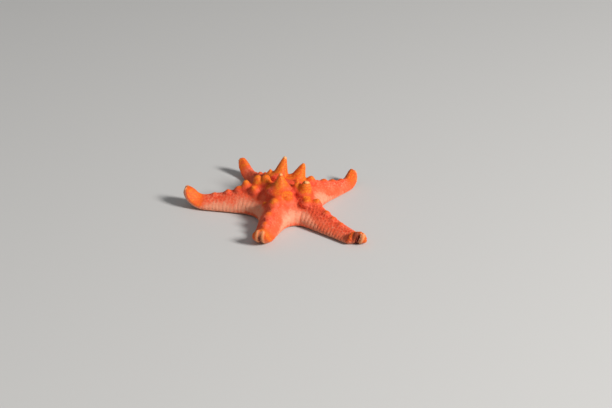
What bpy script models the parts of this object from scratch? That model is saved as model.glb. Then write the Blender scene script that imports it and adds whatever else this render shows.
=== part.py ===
"""Horned sea star at life size: a high disc, five arms with curled tips, horns and furrows."""
import math
import random

import bmesh
import bpy
from mathutils import Matrix, Vector

MM = 0.001

# The star is drawn round its disc's middle, then moved so that the origin lies on the
# floor under the middle of its whole outline
DISC_MIDDLE = Vector((10.93 * MM, -2.57 * MM, 0))

# Heights along the ridges, measured on the uncurled star
CROWN = 26.0 * MM             # height of the disc's middle
TIP_THICKNESS = 8.0 * MM      # thickness that the arms fall to
RIDGE_REACH = 44.0 * MM       # station where the ridge has lost most of its height
RIDGE_POWER = 2.2

# Outline of the arms
BASE_HALF_WIDTH = 13.0 * MM   # arm's half width at the disc, before the web
TIP_HALF_WIDTH = 7.6 * MM     # arm's half width just before its blunt end
CAP_LENGTH = 10.0 * MM        # length of the rounded end
CAP_HEIGHT = 0.42             # height of the end's middle, as a share of the thickness
CAP_POWER = 2.2
SWAY_START = 38.0 * MM        # station where an arm may begin to swing sideways
CURL_ANGLE = math.radians(86)

# Marginal wall and its plates
MARGIN_SHARE = 0.46           # height of the wall, as a share of the ridge
SIDE_POWER = 1.5              # roundness of the flank between wall and ridge
PLATE_SWELL = 0.45 * MM
EDGE_LIFT = 1.2 * MM          # rise of the wall's lower edge above the floor
EDGE_INSET = 1.1 * MM         # how far the lower edge lies inside the outline
SHOULDER_INSET = 0.9 * MM     # how far the wall's upper edge lies inside the outline
FLAT_SHARE = 0.6              # part of the underside that lies flat

# Furrow under each arm, and the mouth
FURROW_HALF_WIDTH = 2.1 * MM
FURROW_TIP_HALF_WIDTH = 1.2 * MM
FURROW_DEPTH = 3.6 * MM
FURROW_TIP_DEPTH = 2.4 * MM
FURROW_CLOSE = 5.0 * MM       # length over which the furrow runs out at the tip
MOUTH_RADIUS = 6.0 * MM
MOUTH_DEPTH = 5.0 * MM

# Partings between the nodes
GAP = 0.3 * MM
CUT_MARGIN = 1.6 * MM         # how far past a notch the arm is parted from the disc
TIP_CUT = 2.0 * MM            # how far before its curl an arm is parted in two
SNAP = 0.02 * MM
MERGE = 0.002 * MM

# Madreporite, a sieve plate sunk in the disc between two arms
SIEVE_RADIUS = 2.0 * MM
SIEVE_THICKNESS = 1.6 * MM
SIEVE_RISE = 0.5 * MM
SIEVE_RUN = -0.42
SIEVE_SIDES = 16
SEAT_RISE = 3.0 * MM

# Azimuth in degrees, straight run, curl radius, sideways swing at the tip, share of the
# usual width at the base and at the tip, furrow gape at the tip, roll of the tip about its
# own length in degrees, how much thicker than usual it is, and the distance from the
# disc's middle to the notch on the arm's left hand side
ARMS = {
    "front": (-109.2, 54.2 * MM, 17.0 * MM, 3.0 * MM, 0.84, 0.84, 0.0, 0, 0.0, 31.0 * MM),
    "front_right": (-46.2, 74.6 * MM, 12.6 * MM, 0.0, 1.0, 0.92, 0.8 * MM, -58, 0.0, 28.3 * MM),
    "back_right": (40.0, 63.6 * MM, 14.6 * MM, 5.0 * MM, 0.94, 0.78, 0.0, 0, -0.6 * MM, 31.0 * MM),
    "back_left": (116.5, 66.0 * MM, 17.5 * MM, 4.0 * MM, 0.88, 0.56, 0.0, 0, 0.0, 35.0 * MM),
    "left": (173.4, 67.0 * MM, 19.0 * MM, 0.0, 1.03, 0.9, 0.0, 0, 2.0 * MM, 30.5 * MM),
}
ROLL_HEIGHT = 4.0 * MM
THICK_START, THICK_FULL = 10.0 * MM, 38.0 * MM

# Horns and knobs: station along the arm, place across it from -1 (right) to 1 (left),
# height, radius at the foot, lean outwards and lean to the left in degrees
HORNS = {
    "front": [
        (10.2, -0.25, 13.0, 7.6, -2, 0), (16.1, 0.6, 5.0, 4.9, 30, 25),
        (28.0, -0.05, 3.6, 4.1, 15, 0), (24.0, -0.6, 2.6, 2.8, 15, -25),
        (41.0, -0.1, 2.6, 3.3, 8, 0), (50.5, -0.05, 1.4, 2.4, 8, 0),
    ],
    "front_right": [
        (19.3, 0.12, 10.0, 5.4, 8, 4), (12.0, 0.02, 6.0, 4.2, 0, 0),
        (26.3, -0.3, 3.7, 3.9, 12, -8), (32.2, 0.2, 3.8, 3.7, 15, 8), (18.2, 0.85, 2.2, 2.4, 10, 20),
        (45.0, 0.05, 2.2, 2.8, 8, 0), (52.5, 0.05, 1.9, 2.6, 8, 0), (61.0, 0.05, 1.4, 2.4, 8, 0),
    ],
    "back_right": [
        (15.0, 0.47, 16.0, 7.0, 19, -11), (8.4, -0.45, 3.5, 2.4, 0, 0), (11.9, 0.9, 7.0, 6.2, 0, 0),
        (23.0, -0.15, 4.7, 4.2, 8, -6), (27.0, 0.6, 3.6, 3.0, 15, 12),
        (39.5, 0.0, 1.7, 2.8, 8, 0), (49.0, 0.0, 1.4, 2.6, 8, 0), (59.5, 0.0, 1.1, 2.2, 8, 0),
    ],
    "back_left": [
        (19.5, -0.2, 17.4, 6.9, 5, -19), (23.0, 0.4, 9.6, 6.2, 6, -16),
        (32.0, 0.4, 3.2, 2.8, 10, 5), (31.0, -0.35, 3.4, 2.8, 12, -8),
        (42.0, 0.0, 2.4, 2.6, 8, 0), (51.5, 0.0, 1.8, 2.4, 8, 0),
    ],
    "left": [
        (23.4, -0.16, 7.6, 4.6, 6, 0), (17.2, -0.12, 7.2, 4.5, 0, 0), (33.0, -0.1, 5.6, 4.3, 10, 0),
        (26.8, 0.28, 4.8, 3.6, 20, 24), (24.5, -0.62, 3.6, 2.8, 12, -20),
        (13.4, 0.74, 5.0, 4.4, 24, 16),
        (39.5, 0.0, 2.6, 3.2, 8, 0), (48.5, 0.0, 2.0, 2.6, 8, 0), (60.0, 0.0, 1.0, 2.2, 8, 0),
    ],
}
# Broad horns that narrow early, by arm and place in its list
PEAKS = (("front", 0), ("back_left", 1))
# Outlines of pointed horns, of broad ones, of blunt ones and of low knobs: share of the
# radius and share of the height, from the sunk root up
HORN_PROFILE = (
    (0.0, -1.0), (1.25, -0.9), (1.32, 0.0), (0.95, 0.16),
    (0.68, 0.42), (0.41, 0.74), (0.18, 0.96), (0.0, 1.0),
)
PEAK_PROFILE = (
    (0.0, -1.0), (1.25, -0.9), (1.38, 0.0), (1.02, 0.15),
    (0.68, 0.42), (0.35, 0.74), (0.14, 0.96), (0.0, 1.0),
)
BLUNT_PROFILE = (
    (0.0, -1.0), (1.25, -0.9), (1.32, 0.0), (1.02, 0.18),
    (0.83, 0.52), (0.6, 0.84), (0.3, 0.97), (0.0, 1.0),
)
KNOB_PROFILE = ((0.0, -1.0), (1.25, -0.9), (1.3, 0.0), (0.84, 0.3), (0.42, 0.84), (0.0, 1.0))
BLUNT_SHARE = 0.5             # a tall horn is blunt when its radius passes this share of its height
HORN_ROOT = 2.4 * MM
TALL_HORN = 7.0 * MM
TALL_SIDES = 9
KNOB_SIDES = 7

# Furrow spines, in a row on either side of each furrow. Places across the arm are shares
# of the furrow's half width, and heights are over the flat underside.
SPINE_FIRST = 9.0 * MM        # station of the first pair
SPINE_LAST = 4.5 * MM         # how far before the arm's end the rows stop
SPINE_PITCH = 4.7 * MM
SPINE_RADIUS = 0.55 * MM
SPINE_END_RADIUS = 0.3 * MM
SPINE_ROOT = (1.7, 1.3 * MM)  # place across and height of the sunk root
SPINE_END = (0.32, 0.45 * MM)
SPINE_PROUD = 1.1 * MM        # how far further the spines stand out where a tip curls up
SPINE_SHRINK = 0.72           # size near the arm's tip
SPINE_SIDES = 4

# Tube feet, in two rows inside each furrow
FOOT_FIRST = 11.0 * MM
FOOT_LAST = 6.5 * MM
FOOT_PITCH = 9.4 * MM
FOOT_ACROSS = 0.36
FOOT_SPREAD = 0.2 * MM        # how much further out the sucker is than the root
FOOT_ROOT = 0.8 * MM
FOOT_RADIUS = 0.42 * MM
SUCKER_RADIUS = 0.6 * MM
SUCKER_THICKNESS = 0.4 * MM
SUCKER_HEIGHT = 0.5 * MM
FOOT_PROUD = 0.7 * MM
FOOT_SIDES = 5

# Oral spines, a fan at each of the five jaws round the mouth
ORAL_FAN = (-15.0, 0.0, 15.0)
ORAL_ROOT = (8.4 * MM, 1.5 * MM)   # distance from the mouth's middle, and height
ORAL_END = (2.6 * MM, 0.75 * MM)
ORAL_RADIUS = 0.75 * MM
ORAL_END_RADIUS = 0.35 * MM
ORAL_SIDES = 5

CUT_CLEARANCE = 1.0 * MM      # what stands in a furrow keeps this far from a parting
FLOOR_SHARE = 0.7             # share of a curled tip's lift that spines and feet may use
SCATTER = 0.12                # share by which sizes vary
SEED = 7

# Rows and columns of the faceted surface
DISC_ROWS = 5
ARM_ROWS = 24
BOTTOM_COLUMNS = 4
WALL_COLUMNS = 3
TOP_COLUMNS = 5

SKIN = ("skin", (0.80, 0.16, 0.09, 1.0), 0.55)
SIEVE = ("sieve_plate", (0.85, 0.45, 0.25, 1.0), 0.6)


def mix(a, b, share):
    return a + (b - a) * share


def ease(low, high, value):
    """Smooth step from 0 at low to 1 at high."""
    share = min(max((value - low) / (high - low), 0.0), 1.0)
    return share * share * (3 - 2 * share)


def ridge_height(station):
    return TIP_THICKNESS + (CROWN - TIP_THICKNESS) * math.exp(-(station / RIDGE_REACH) ** RIDGE_POWER)


class Arm:
    """One arm's outline and its curl, in the arm's own flat frame: along, across and up."""

    def __init__(self, name, azimuth, straight, curl_radius, sway, base, tip, gape, roll, thicker):
        self.name = name
        self.azimuth = math.radians(azimuth)
        self.straight = straight
        self.curl_radius = curl_radius
        self.sway = sway
        self.base_width = BASE_HALF_WIDTH * base
        self.tip_width = TIP_HALF_WIDTH * tip
        self.gape = gape
        self.roll = math.radians(roll)
        self.thicker = thicker
        self.length = straight + curl_radius * CURL_ANGLE
        self.sides = {}

    def ridge(self, station):
        """Height of the ridge."""
        return ridge_height(station) + self.thicker * ease(THICK_START, THICK_FULL, station)

    def set_notch(self, side, half_gap, distance):
        """The notch between this arm and its neighbour on one side, +1 left or -1 right."""
        station = distance * math.cos(half_gap)
        web = distance * math.sin(half_gap) - self.base_width
        slope = (self.base_width - self.tip_width) / (self.length - station)
        fade = web / (1 / math.tan(half_gap) - slope)
        self.sides[side] = (station, web, slope, fade, half_gap, distance)

    def root_station(self):
        return (self.sides[1][0] + self.sides[-1][0]) / 2

    def station(self, run):
        """Station on the midline: run is -1 at the disc's middle, 0 at the notches, 1 at the tip."""
        root = self.root_station()
        return root * (1 + run) if run < 0 else mix(root, self.length, run)

    def run(self, station):
        root = self.root_station()
        return station / root - 1 if station < root else (station - root) / (self.length - root)

    def edge(self, side, run, inset):
        """Point of the outline at a run past the notch, moved in by the inset."""
        root, web, slope, fade, _, _ = self.sides[side]
        station = mix(root, self.length, run)
        swell = web * math.exp(-(station - root) / fade)
        width = self.base_width - slope * (station - root) + swell
        lean = -slope - swell / fade
        size = math.hypot(1, lean)
        return station + inset * lean / size, side * (width - inset / size)

    def plan(self, side, run, share, inset):
        """Point between the midline (share 0) and the outline (share 1)."""
        x, y = self.edge(side, max(run, 0.0), inset)
        middle = self.station(max(run, 0.0))
        shrink = 1 + min(run, 0.0)
        return mix(middle, x, share) * shrink, y * share * shrink

    def shoulder_height(self, run):
        """Height of the marginal wall's upper edge."""
        if run < 0:
            return mix(NOTCH_HEIGHT, CROWN, 1 - (1 + run) ** SIDE_POWER)
        return mix(NOTCH_HEIGHT, MARGIN_SHARE * self.ridge(self.station(run)), ease(0.0, 0.2, run))

    def round_end(self, run, x, y, z):
        """Draws the last sections in towards the middle of the blunt end."""
        station = self.station(run)
        past = min(max((station - self.length + CAP_LENGTH) / CAP_LENGTH, 0.0), 1.0)
        shrink = math.sqrt(1 - past ** CAP_POWER)
        middle = CAP_HEIGHT * self.ridge(station)
        return mix(station, x, shrink), y * shrink, mix(middle, z, shrink)

    def place(self, x, y, z):
        """Takes a point of the flat arm to its place on the curled one."""
        roll = self.roll * ease(self.straight + 1 * MM, self.length - 6 * MM, x)
        rise = z - ROLL_HEIGHT
        y, z = y * math.cos(roll) - rise * math.sin(roll), y * math.sin(roll) + rise * math.cos(roll)
        z += ROLL_HEIGHT
        y += self.sway * max((x - SWAY_START) / (self.length - SWAY_START), 0.0) ** 2
        if x > self.straight:
            turn = (x - self.straight) / self.curl_radius
            reach = self.curl_radius - z
            x = self.straight + reach * math.sin(turn)
            z = self.curl_radius - reach * math.cos(turn)
        sine, cosine = math.sin(self.azimuth), math.cos(self.azimuth)
        return Vector((x * cosine - y * sine, x * sine + y * cosine, z))

    def furrow_half_width(self, x):
        gape = self.gape * ease(self.straight - 4 * MM, self.length - 4 * MM, x)
        return mix(FURROW_HALF_WIDTH, FURROW_TIP_HALF_WIDTH, x / self.length) + gape

    def furrow_height(self, x, y):
        """Height of the furrow's roof over the floor at a point of the flat arm."""
        half_width = self.furrow_half_width(x)
        depth = mix(FURROW_DEPTH, FURROW_TIP_DEPTH, x / self.length)
        depth *= 1 - ease(self.length - FURROW_CLOSE, self.length, x)
        groove = depth * (1 - ease(0.25 * half_width, half_width, abs(y)))
        mouth = MOUTH_DEPTH * (1 - ease(0.3 * MOUTH_RADIUS, MOUTH_RADIUS, math.hypot(x, y)))
        return max(groove, mouth)

    def bottom(self, side, run, share):
        """Underside: furrow, flat strip and the rise to the wall."""
        x, y = self.plan(side, run, share, EDGE_INSET)
        lift = EDGE_LIFT * ease(FLAT_SHARE, 1.0, share) * ease(-0.25, 0.0, run)
        z = max(self.furrow_height(x, y), lift)
        return self.place(*self.round_end(run, x, y, z))

    def wall(self, side, run, share):
        """Marginal wall, from its lower edge (share 0) to its shoulder (share 1)."""
        bulge = 1 - abs(2 * share - 1) ** 1.5
        inset = mix(EDGE_INSET, SHOULDER_INSET, share) * (1 - bulge)
        x, y = self.plan(side, run, 1.0, inset - PLATE_SWELL * plate_wave(run) * bulge)
        z = mix(EDGE_LIFT, self.shoulder_height(run), share)
        return self.place(*self.round_end(run, x, y, z))

    def top(self, side, run, share):
        """Upper side, from the ridge (share 0) to the shoulder (share 1)."""
        x, y = self.plan(side, run, share, SHOULDER_INSET)
        web = math.cos(share * math.pi / 2) ** 2
        flank = mix(web, 1 - share ** SIDE_POWER, ease(-0.1, 0.3, run))
        z = mix(self.shoulder_height(run), self.ridge(self.station(run)), flank)
        return self.place(*self.round_end(run, x, y, z))

    def under_point(self, x, y, z):
        """A point near the furrow, by its place on the flat arm."""
        return self.place(*self.round_end(self.run(x), x, y, z))

    def upper_frame(self, station, across):
        """Point of the upper side, with its outward, leftward and upward directions."""
        side = 1 if across >= 0 else -1
        point = self.top(side, self.run(station), abs(across))
        outward = Vector((math.cos(self.azimuth), math.sin(self.azimuth), 0))
        leftward = Vector((-outward.y, outward.x, 0))
        return point, outward, leftward


NOTCH_HEIGHT = MARGIN_SHARE * ridge_height(26.0 * MM)


def plate_wave(run):
    """1 on a marginal plate and 0 in the joint between two."""
    row = round(run * ARM_ROWS)
    return 1.0 if row % 2 and row < ARM_ROWS else 0.0


def make_arms():
    """Arms in counter-clockwise order, with the notches between neighbours."""
    arms = [Arm(name, *sizes[:-1]) for name, sizes in ARMS.items()]
    for arm, following in zip(arms, arms[1:] + arms[:1]):
        half_gap = (following.azimuth - arm.azimuth) % math.tau / 2
        distance = ARMS[arm.name][-1]
        arm.set_notch(1, half_gap, distance)
        following.set_notch(-1, half_gap, distance)
    return arms


def add_sheet(bm, columns, rows, mapping):
    """A grid whose sides run 0 to 1 across and along, laid out by the mapping."""
    grid = bmesh.ops.create_grid(bm, x_segments=columns, y_segments=rows, size=0.5)
    for vertex in grid["verts"]:
        vertex.co = mapping(vertex.co.x + 0.5, vertex.co.y + 0.5)


def row_run(share):
    """Run of a row of the whole arm: negative on the disc, positive on the arm."""
    row = share * (DISC_ROWS + ARM_ROWS) - DISC_ROWS
    return row / DISC_ROWS if row < 0 else row / ARM_ROWS


def bottom_share(arm, side, run, column):
    """Columns keep to the furrow's sides and spread over the flat."""
    x, y = arm.plan(side, run, 1.0, EDGE_INSET)
    step = round(column * BOTTOM_COLUMNS)
    share = (0.0, 0.12, 0.3, FLAT_SHARE, 1.0)[step]
    if step in (1, 2) and abs(y) > MERGE:
        furrow = arm.furrow_half_width(x) / abs(y)
        share = min(share, furrow * (0.3, 1.0)[step - 1])
    return share


def build_body(arms):
    """The whole star as one closed mesh."""
    bm = bmesh.new()
    rows = DISC_ROWS + ARM_ROWS
    for arm in arms:
        for side in (1, -1):
            def under(u, v):
                run = row_run(v)
                return arm.bottom(side, run, bottom_share(arm, side, run, u))
            add_sheet(bm, BOTTOM_COLUMNS, rows, under)
            add_sheet(bm, WALL_COLUMNS, ARM_ROWS, lambda u, v: arm.wall(side, v, u))
            add_sheet(bm, TOP_COLUMNS, rows, lambda u, v: arm.top(side, row_run(v), u))
    bmesh.ops.remove_doubles(bm, verts=bm.verts, dist=MERGE)
    bmesh.ops.dissolve_degenerate(bm, edges=bm.edges, dist=MERGE)
    bmesh.ops.recalc_face_normals(bm, faces=bm.faces)
    return bm


def islands(bm):
    """Lists of the vertices that hang together."""
    unseen = set(bm.verts)
    groups = []
    while unseen:
        stack = [unseen.pop()]
        group = list(stack)
        while stack:
            for edge in stack.pop().link_edges:
                for vertex in edge.verts:
                    if vertex in unseen:
                        unseen.remove(vertex)
                        stack.append(vertex)
                        group.append(vertex)
        groups.append(group)
    return groups


def keep_island(bm, rank):
    """Keeps only the island that the rank function values most."""
    groups = sorted(islands(bm), key=rank)
    for group in groups[:-1]:
        bmesh.ops.delete(bm, geom=group, context="VERTS")


def part_by_planes(body, planes, seed):
    """The part of the body behind every plane that lies nearest the seed point."""
    bm = body.copy()
    for point, normal in planes:
        geometry = bm.verts[:] + bm.edges[:] + bm.faces[:]
        bmesh.ops.bisect_plane(bm, geom=geometry, dist=SNAP, plane_co=point, plane_no=normal, clear_outer=True)
        rims = [edge for edge in bm.edges if len(edge.link_faces) == 1]
        bmesh.ops.holes_fill(bm, edges=rims, sides=0)
    bmesh.ops.triangulate(bm, faces=[face for face in bm.faces if len(face.verts) > 4])
    keep_island(bm, lambda group: -min((vertex.co - seed).length for vertex in group))
    bmesh.ops.recalc_face_normals(bm, faces=bm.faces)
    return bm


def disc_plane(arm):
    """Upright plane between the disc and an arm, through points just past both notches."""
    corners = []
    for side in (1, -1):
        _, _, _, _, half_gap, distance = arm.sides[side]
        direction = arm.azimuth + side * half_gap
        reach = distance + CUT_MARGIN
        corners.append(Vector((reach * math.cos(direction), reach * math.sin(direction), 0)))
    along = corners[0] - corners[1]
    normal = Vector((along.y, -along.x, 0)).normalized()
    return corners[0], normal


def tip_plane(arm):
    point = arm.place(arm.straight - TIP_CUT, 0, 0)
    normal = Vector((math.cos(arm.azimuth), math.sin(arm.azimuth), 0))
    return point, normal


def inner_side(plane):
    point, normal = plane
    return point - normal * GAP / 2, normal


def outer_side(plane):
    point, normal = plane
    return point + normal * GAP / 2, -normal


def new_object(name, bm, material):
    mesh = bpy.data.meshes.new(name)
    bm.to_mesh(mesh)
    bm.free()
    mesh.materials.append(material)
    item = bpy.data.objects.new(name, mesh)
    bpy.context.collection.objects.link(item)
    return item


def new_material(name, colour, roughness):
    material = bpy.data.materials.new(name)
    material.use_nodes = True
    shader = material.node_tree.nodes["Principled BSDF"]
    shader.inputs["Base Color"].default_value = colour
    shader.inputs["Roughness"].default_value = roughness
    return material


def turned_piece(profile, sides, point, axis):
    """A solid turned round an axis through the point, from pairs of radius and height."""
    bm = bmesh.new()
    line = [bm.verts.new((radius, 0, rise)) for radius, rise in profile]
    edges = [bm.edges.new(pair) for pair in zip(line, line[1:])]
    bmesh.ops.spin(bm, geom=line + edges, axis=(0, 0, 1), cent=(0, 0, 0), angle=math.tau,
                   steps=sides, use_merge=True)
    bmesh.ops.remove_doubles(bm, verts=bm.verts, dist=MERGE)
    bmesh.ops.recalc_face_normals(bm, faces=bm.faces)
    turn = axis.to_track_quat("Z", "Y").to_matrix().to_4x4()
    bmesh.ops.transform(bm, matrix=Matrix.Translation(point) @ turn, verts=bm.verts)
    return bm


def horn_profile(arm, index):
    """Outline of one of an arm's horns."""
    height, radius = HORNS[arm.name][index][2:4]
    if (arm.name, index) in PEAKS:
        return PEAK_PROFILE
    if height * MM > TALL_HORN:
        return BLUNT_PROFILE if radius > BLUNT_SHARE * height else HORN_PROFILE
    return KNOB_PROFILE


def arm_horns(arm):
    """Horn pieces of one arm."""
    for index, sizes in enumerate(HORNS[arm.name]):
        station, across, height, radius, lean_out, lean_left = sizes
        point, outward, leftward = arm.upper_frame(station * MM, across)
        axis = Vector((0, 0, 1)) + outward * math.tan(math.radians(lean_out))
        axis += leftward * math.tan(math.radians(lean_left))
        profile = [(wide * radius * MM, high * (height * MM if high > 0 else HORN_ROOT))
                   for wide, high in horn_profile(arm, index)]
        sides = TALL_SIDES if height * MM > TALL_HORN else KNOB_SIDES
        yield turned_piece(profile, sides, point, axis.normalized())


def taper(root, end, radius, end_radius, sides):
    """A blunt cone from its root to its end."""
    axis = end - root
    bm = bmesh.new()
    bmesh.ops.create_cone(bm, cap_ends=True, segments=sides, radius1=radius, radius2=end_radius,
                          depth=axis.length)
    turn = axis.to_track_quat("Z", "Y").to_matrix().to_4x4()
    bmesh.ops.transform(bm, matrix=Matrix.Translation((root + end) / 2) @ turn, verts=bm.verts)
    return bm


def floor_lift(arm, station):
    """How far the curl lifts the underside off the floor at a station."""
    turn = max(station - arm.straight, 0.0) / arm.curl_radius
    return arm.curl_radius * (1 - math.cos(turn))


def furrow_stations(arm, first, last, pitch):
    """Stations spread evenly along the furrow, clear of the partings."""
    point, normal = disc_plane(arm)
    outward = Vector((math.cos(arm.azimuth), math.sin(arm.azimuth), 0))
    disc_cut = point.dot(normal) / outward.dot(normal)
    ends = (first, disc_cut, arm.straight - TIP_CUT, arm.length - last)
    stations = []
    for index in range(3):
        low = ends[index] + (CUT_CLEARANCE if index > 0 else 0)
        high = ends[index + 1] - (CUT_CLEARANCE if index < 2 else 0)
        count = max(round((high - low) / pitch), 1)
        stations += [mix(low, high, (step + 0.5) / count) for step in range(count)]
    return stations


def furrow_spines(arm, draw):
    """Two rows of spines that lean in over the furrow."""
    for side in (1, -1):
        for station in furrow_stations(arm, SPINE_FIRST, SPINE_LAST, SPINE_PITCH):
            size = mix(1, SPINE_SHRINK, station / arm.length) * draw.uniform(1 - SCATTER, 1 + SCATTER)
            half_width = arm.furrow_half_width(station)
            proud = min(SPINE_PROUD, FLOOR_SHARE * floor_lift(arm, station))
            root = arm.under_point(station, side * SPINE_ROOT[0] * half_width, SPINE_ROOT[1])
            end = arm.under_point(station + draw.uniform(-1, 1) * SPINE_END_RADIUS,
                                  side * SPINE_END[0] * half_width, SPINE_END[1] - proud)
            yield taper(root, end, SPINE_RADIUS * size, SPINE_END_RADIUS * size, SPINE_SIDES)


def tube_feet(arm, draw):
    """Two staggered rows of feet with suckers, from the furrow's roof down."""
    for side in (1, -1):
        for station in furrow_stations(arm, FOOT_FIRST + side * FOOT_PITCH / 4, FOOT_LAST, FOOT_PITCH):
            size = mix(1, SPINE_SHRINK, station / arm.length) * draw.uniform(1 - SCATTER, 1 + SCATTER)
            across = side * FOOT_ACROSS * arm.furrow_half_width(station)
            roof = arm.furrow_height(station, across)
            proud = min(FOOT_PROUD, FLOOR_SHARE * floor_lift(arm, station))
            root = arm.under_point(station, across, roof + FOOT_ROOT)
            end = arm.under_point(station + draw.uniform(-1, 1) * FOOT_RADIUS,
                                  across + side * FOOT_SPREAD, SUCKER_HEIGHT - proud)
            reach = (end - root).length
            profile = [(0, 0), (FOOT_RADIUS * size, 0), (FOOT_RADIUS * size, reach - SUCKER_THICKNESS),
                       (SUCKER_RADIUS * size, reach), (0, reach)]
            yield turned_piece(profile, FOOT_SIDES, root, (end - root).normalized())


def oral_spines(arm, draw):
    """A fan of spines that points into the mouth, at the notch on an arm's left."""
    middle = arm.azimuth + arm.sides[1][4]
    for turn in ORAL_FAN:
        angle = middle + math.radians(turn)
        outward = Vector((math.cos(angle), math.sin(angle), 0))
        size = draw.uniform(1 - SCATTER, 1 + SCATTER)
        root = outward * ORAL_ROOT[0] + Vector((0, 0, ORAL_ROOT[1]))
        end = outward * ORAL_END[0] + Vector((0, 0, ORAL_END[1]))
        yield taper(root, end, ORAL_RADIUS * size, ORAL_END_RADIUS * size, ORAL_SIDES)


def grown_pieces(arms):
    """Horns, furrow spines, tube feet and oral spines of all arms."""
    draw = random.Random(SEED)
    for arm in arms:
        yield from arm_horns(arm)
        yield from furrow_spines(arm, draw)
        yield from tube_feet(arm, draw)
        yield from oral_spines(arm, draw)


def apply_boolean(node, boolean):
    """Applies a node's Boolean and keeps the largest closed surface of the result."""
    depsgraph = bpy.context.evaluated_depsgraph_get()
    result = bpy.data.meshes.new_from_object(node.evaluated_get(depsgraph))
    node.modifiers.remove(boolean)
    bm = bmesh.new()
    bm.from_mesh(result)
    bpy.data.meshes.remove(result)
    keep_island(bm, len)
    bm.to_mesh(node.data)
    bm.free()


def fuse(node, pieces, material):
    """Unites a node with its pieces."""
    if not pieces:
        return
    group = bpy.data.collections.new(node.name + "_pieces")
    for index, bm in enumerate(pieces):
        mesh = bpy.data.meshes.new("piece")
        bm.to_mesh(mesh)
        bm.free()
        mesh.materials.append(material)
        group.objects.link(bpy.data.objects.new(f"piece_{index}", mesh))
    union = node.modifiers.new("union", "BOOLEAN")
    union.operation = "UNION"
    union.solver = "EXACT"
    union.operand_type = "COLLECTION"
    union.collection = group
    apply_boolean(node, union)
    for piece in list(group.objects):
        bpy.data.objects.remove(piece, do_unlink=True)
    bpy.data.collections.remove(group)


def seat_sieve(disc, arm, material):
    """Madreporite on the disc, in a round seat on the notch line at an arm's left."""
    point = arm.top(1, SIEVE_RUN, 1.0)
    along = arm.top(1, SIEVE_RUN + 0.1, 1.0) - point
    across = arm.top(1, SIEVE_RUN, 0.9) - point
    axis = along.cross(across).normalized()
    axis *= math.copysign(1, axis.z)
    sunk = SIEVE_RISE - SIEVE_THICKNESS
    plate = [(0, sunk), (SIEVE_RADIUS, sunk), (SIEVE_RADIUS, 0), (0.7 * SIEVE_RADIUS, 0.8 * SIEVE_RISE),
             (0, SIEVE_RISE)]
    new_object("madreporite", turned_piece(plate, SIEVE_SIDES, point, axis), material)
    seat = [(0, sunk - GAP), (SIEVE_RADIUS + GAP, sunk - GAP), (SIEVE_RADIUS + GAP, SEAT_RISE), (0, SEAT_RISE)]
    cutter = new_object("seat", turned_piece(seat, SIEVE_SIDES, point, axis), material)
    cut = disc.modifiers.new("seat", "BOOLEAN")
    cut.operation = "DIFFERENCE"
    cut.solver = "EXACT"
    cut.object = cutter
    apply_boolean(disc, cut)
    bpy.data.objects.remove(cutter, do_unlink=True)


def part_star(star, arms, material):
    """Parts the whole star into the disc, and each arm's base and tip, with thin gaps."""
    whole = bmesh.new()
    whole.from_mesh(star.data)
    bpy.data.objects.remove(star, do_unlink=True)
    planes = [disc_plane(arm) for arm in arms]
    crown = Vector((0, 0, CROWN))
    disc = new_object("disc", part_by_planes(whole, [inner_side(plane) for plane in planes], crown), material)
    for arm, plane in zip(arms, planes):
        root = arm.root_station()
        middle = arm.place((root + arm.straight) / 2 + 2 * MM, 0, arm.ridge(root + 10 * MM))
        ends = [outer_side(plane), inner_side(tip_plane(arm))]
        new_object(f"arm_{arm.name}_base", part_by_planes(whole, ends, middle), material)
        end = arm.place(arm.length, 0, 0)
        tip = part_by_planes(whole, [outer_side(tip_plane(arm))], end)
        new_object(f"arm_{arm.name}_tip", tip, material)
    whole.free()
    return disc


def main():
    for item in list(bpy.data.objects):
        bpy.data.objects.remove(item, do_unlink=True)
    skin = new_material(*SKIN)
    arms = make_arms()
    star = new_object("star", build_body(arms), skin)
    fuse(star, list(grown_pieces(arms)), skin)
    disc = part_star(star, arms, skin)
    seat_sieve(disc, arms[2], new_material(*SIEVE))
    for item in bpy.data.objects:
        item.data.transform(Matrix.Translation(DISC_MIDDLE))


main()
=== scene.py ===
"""Horned sea star, life size: skin with horns, granules, furrow spines, tube feet and sieve plate."""
import math
import random

import bmesh
import bpy
import numpy as np
from bpy.props import FloatProperty, FloatVectorProperty, IntProperty, PointerProperty
from mathutils import Matrix, Vector, noise
from mathutils.kdtree import KDTree


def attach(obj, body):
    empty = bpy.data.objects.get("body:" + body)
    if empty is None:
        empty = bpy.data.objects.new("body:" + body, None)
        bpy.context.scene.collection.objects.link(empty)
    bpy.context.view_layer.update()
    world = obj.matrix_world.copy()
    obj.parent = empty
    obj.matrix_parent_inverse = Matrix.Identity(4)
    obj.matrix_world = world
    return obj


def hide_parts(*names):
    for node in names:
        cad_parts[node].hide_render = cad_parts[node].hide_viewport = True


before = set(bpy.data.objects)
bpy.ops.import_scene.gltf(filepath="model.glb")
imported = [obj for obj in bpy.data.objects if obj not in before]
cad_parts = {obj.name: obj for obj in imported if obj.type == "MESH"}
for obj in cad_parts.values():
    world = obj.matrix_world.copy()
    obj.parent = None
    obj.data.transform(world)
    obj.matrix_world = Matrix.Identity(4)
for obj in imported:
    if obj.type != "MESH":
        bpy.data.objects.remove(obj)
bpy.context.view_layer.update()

bl_info = {
    "name": "Horned Sea Star",
    "version": (1, 0, 0),
    "blender": (4, 5, 0),
    "location": "3D View > Sidebar > Sea Star",
    "description": "Builds a horned sea star piece by piece, with its studio",
    "category": "Add Mesh",
}

FLESH = sorted(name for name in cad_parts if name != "madreporite")
MM = 0.001

# The star is drawn round its disc's middle, then moved so that the origin lies on the
# floor under the middle of its whole outline
DISC_MIDDLE = Vector((10.93 * MM, -2.57 * MM, 0))

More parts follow.
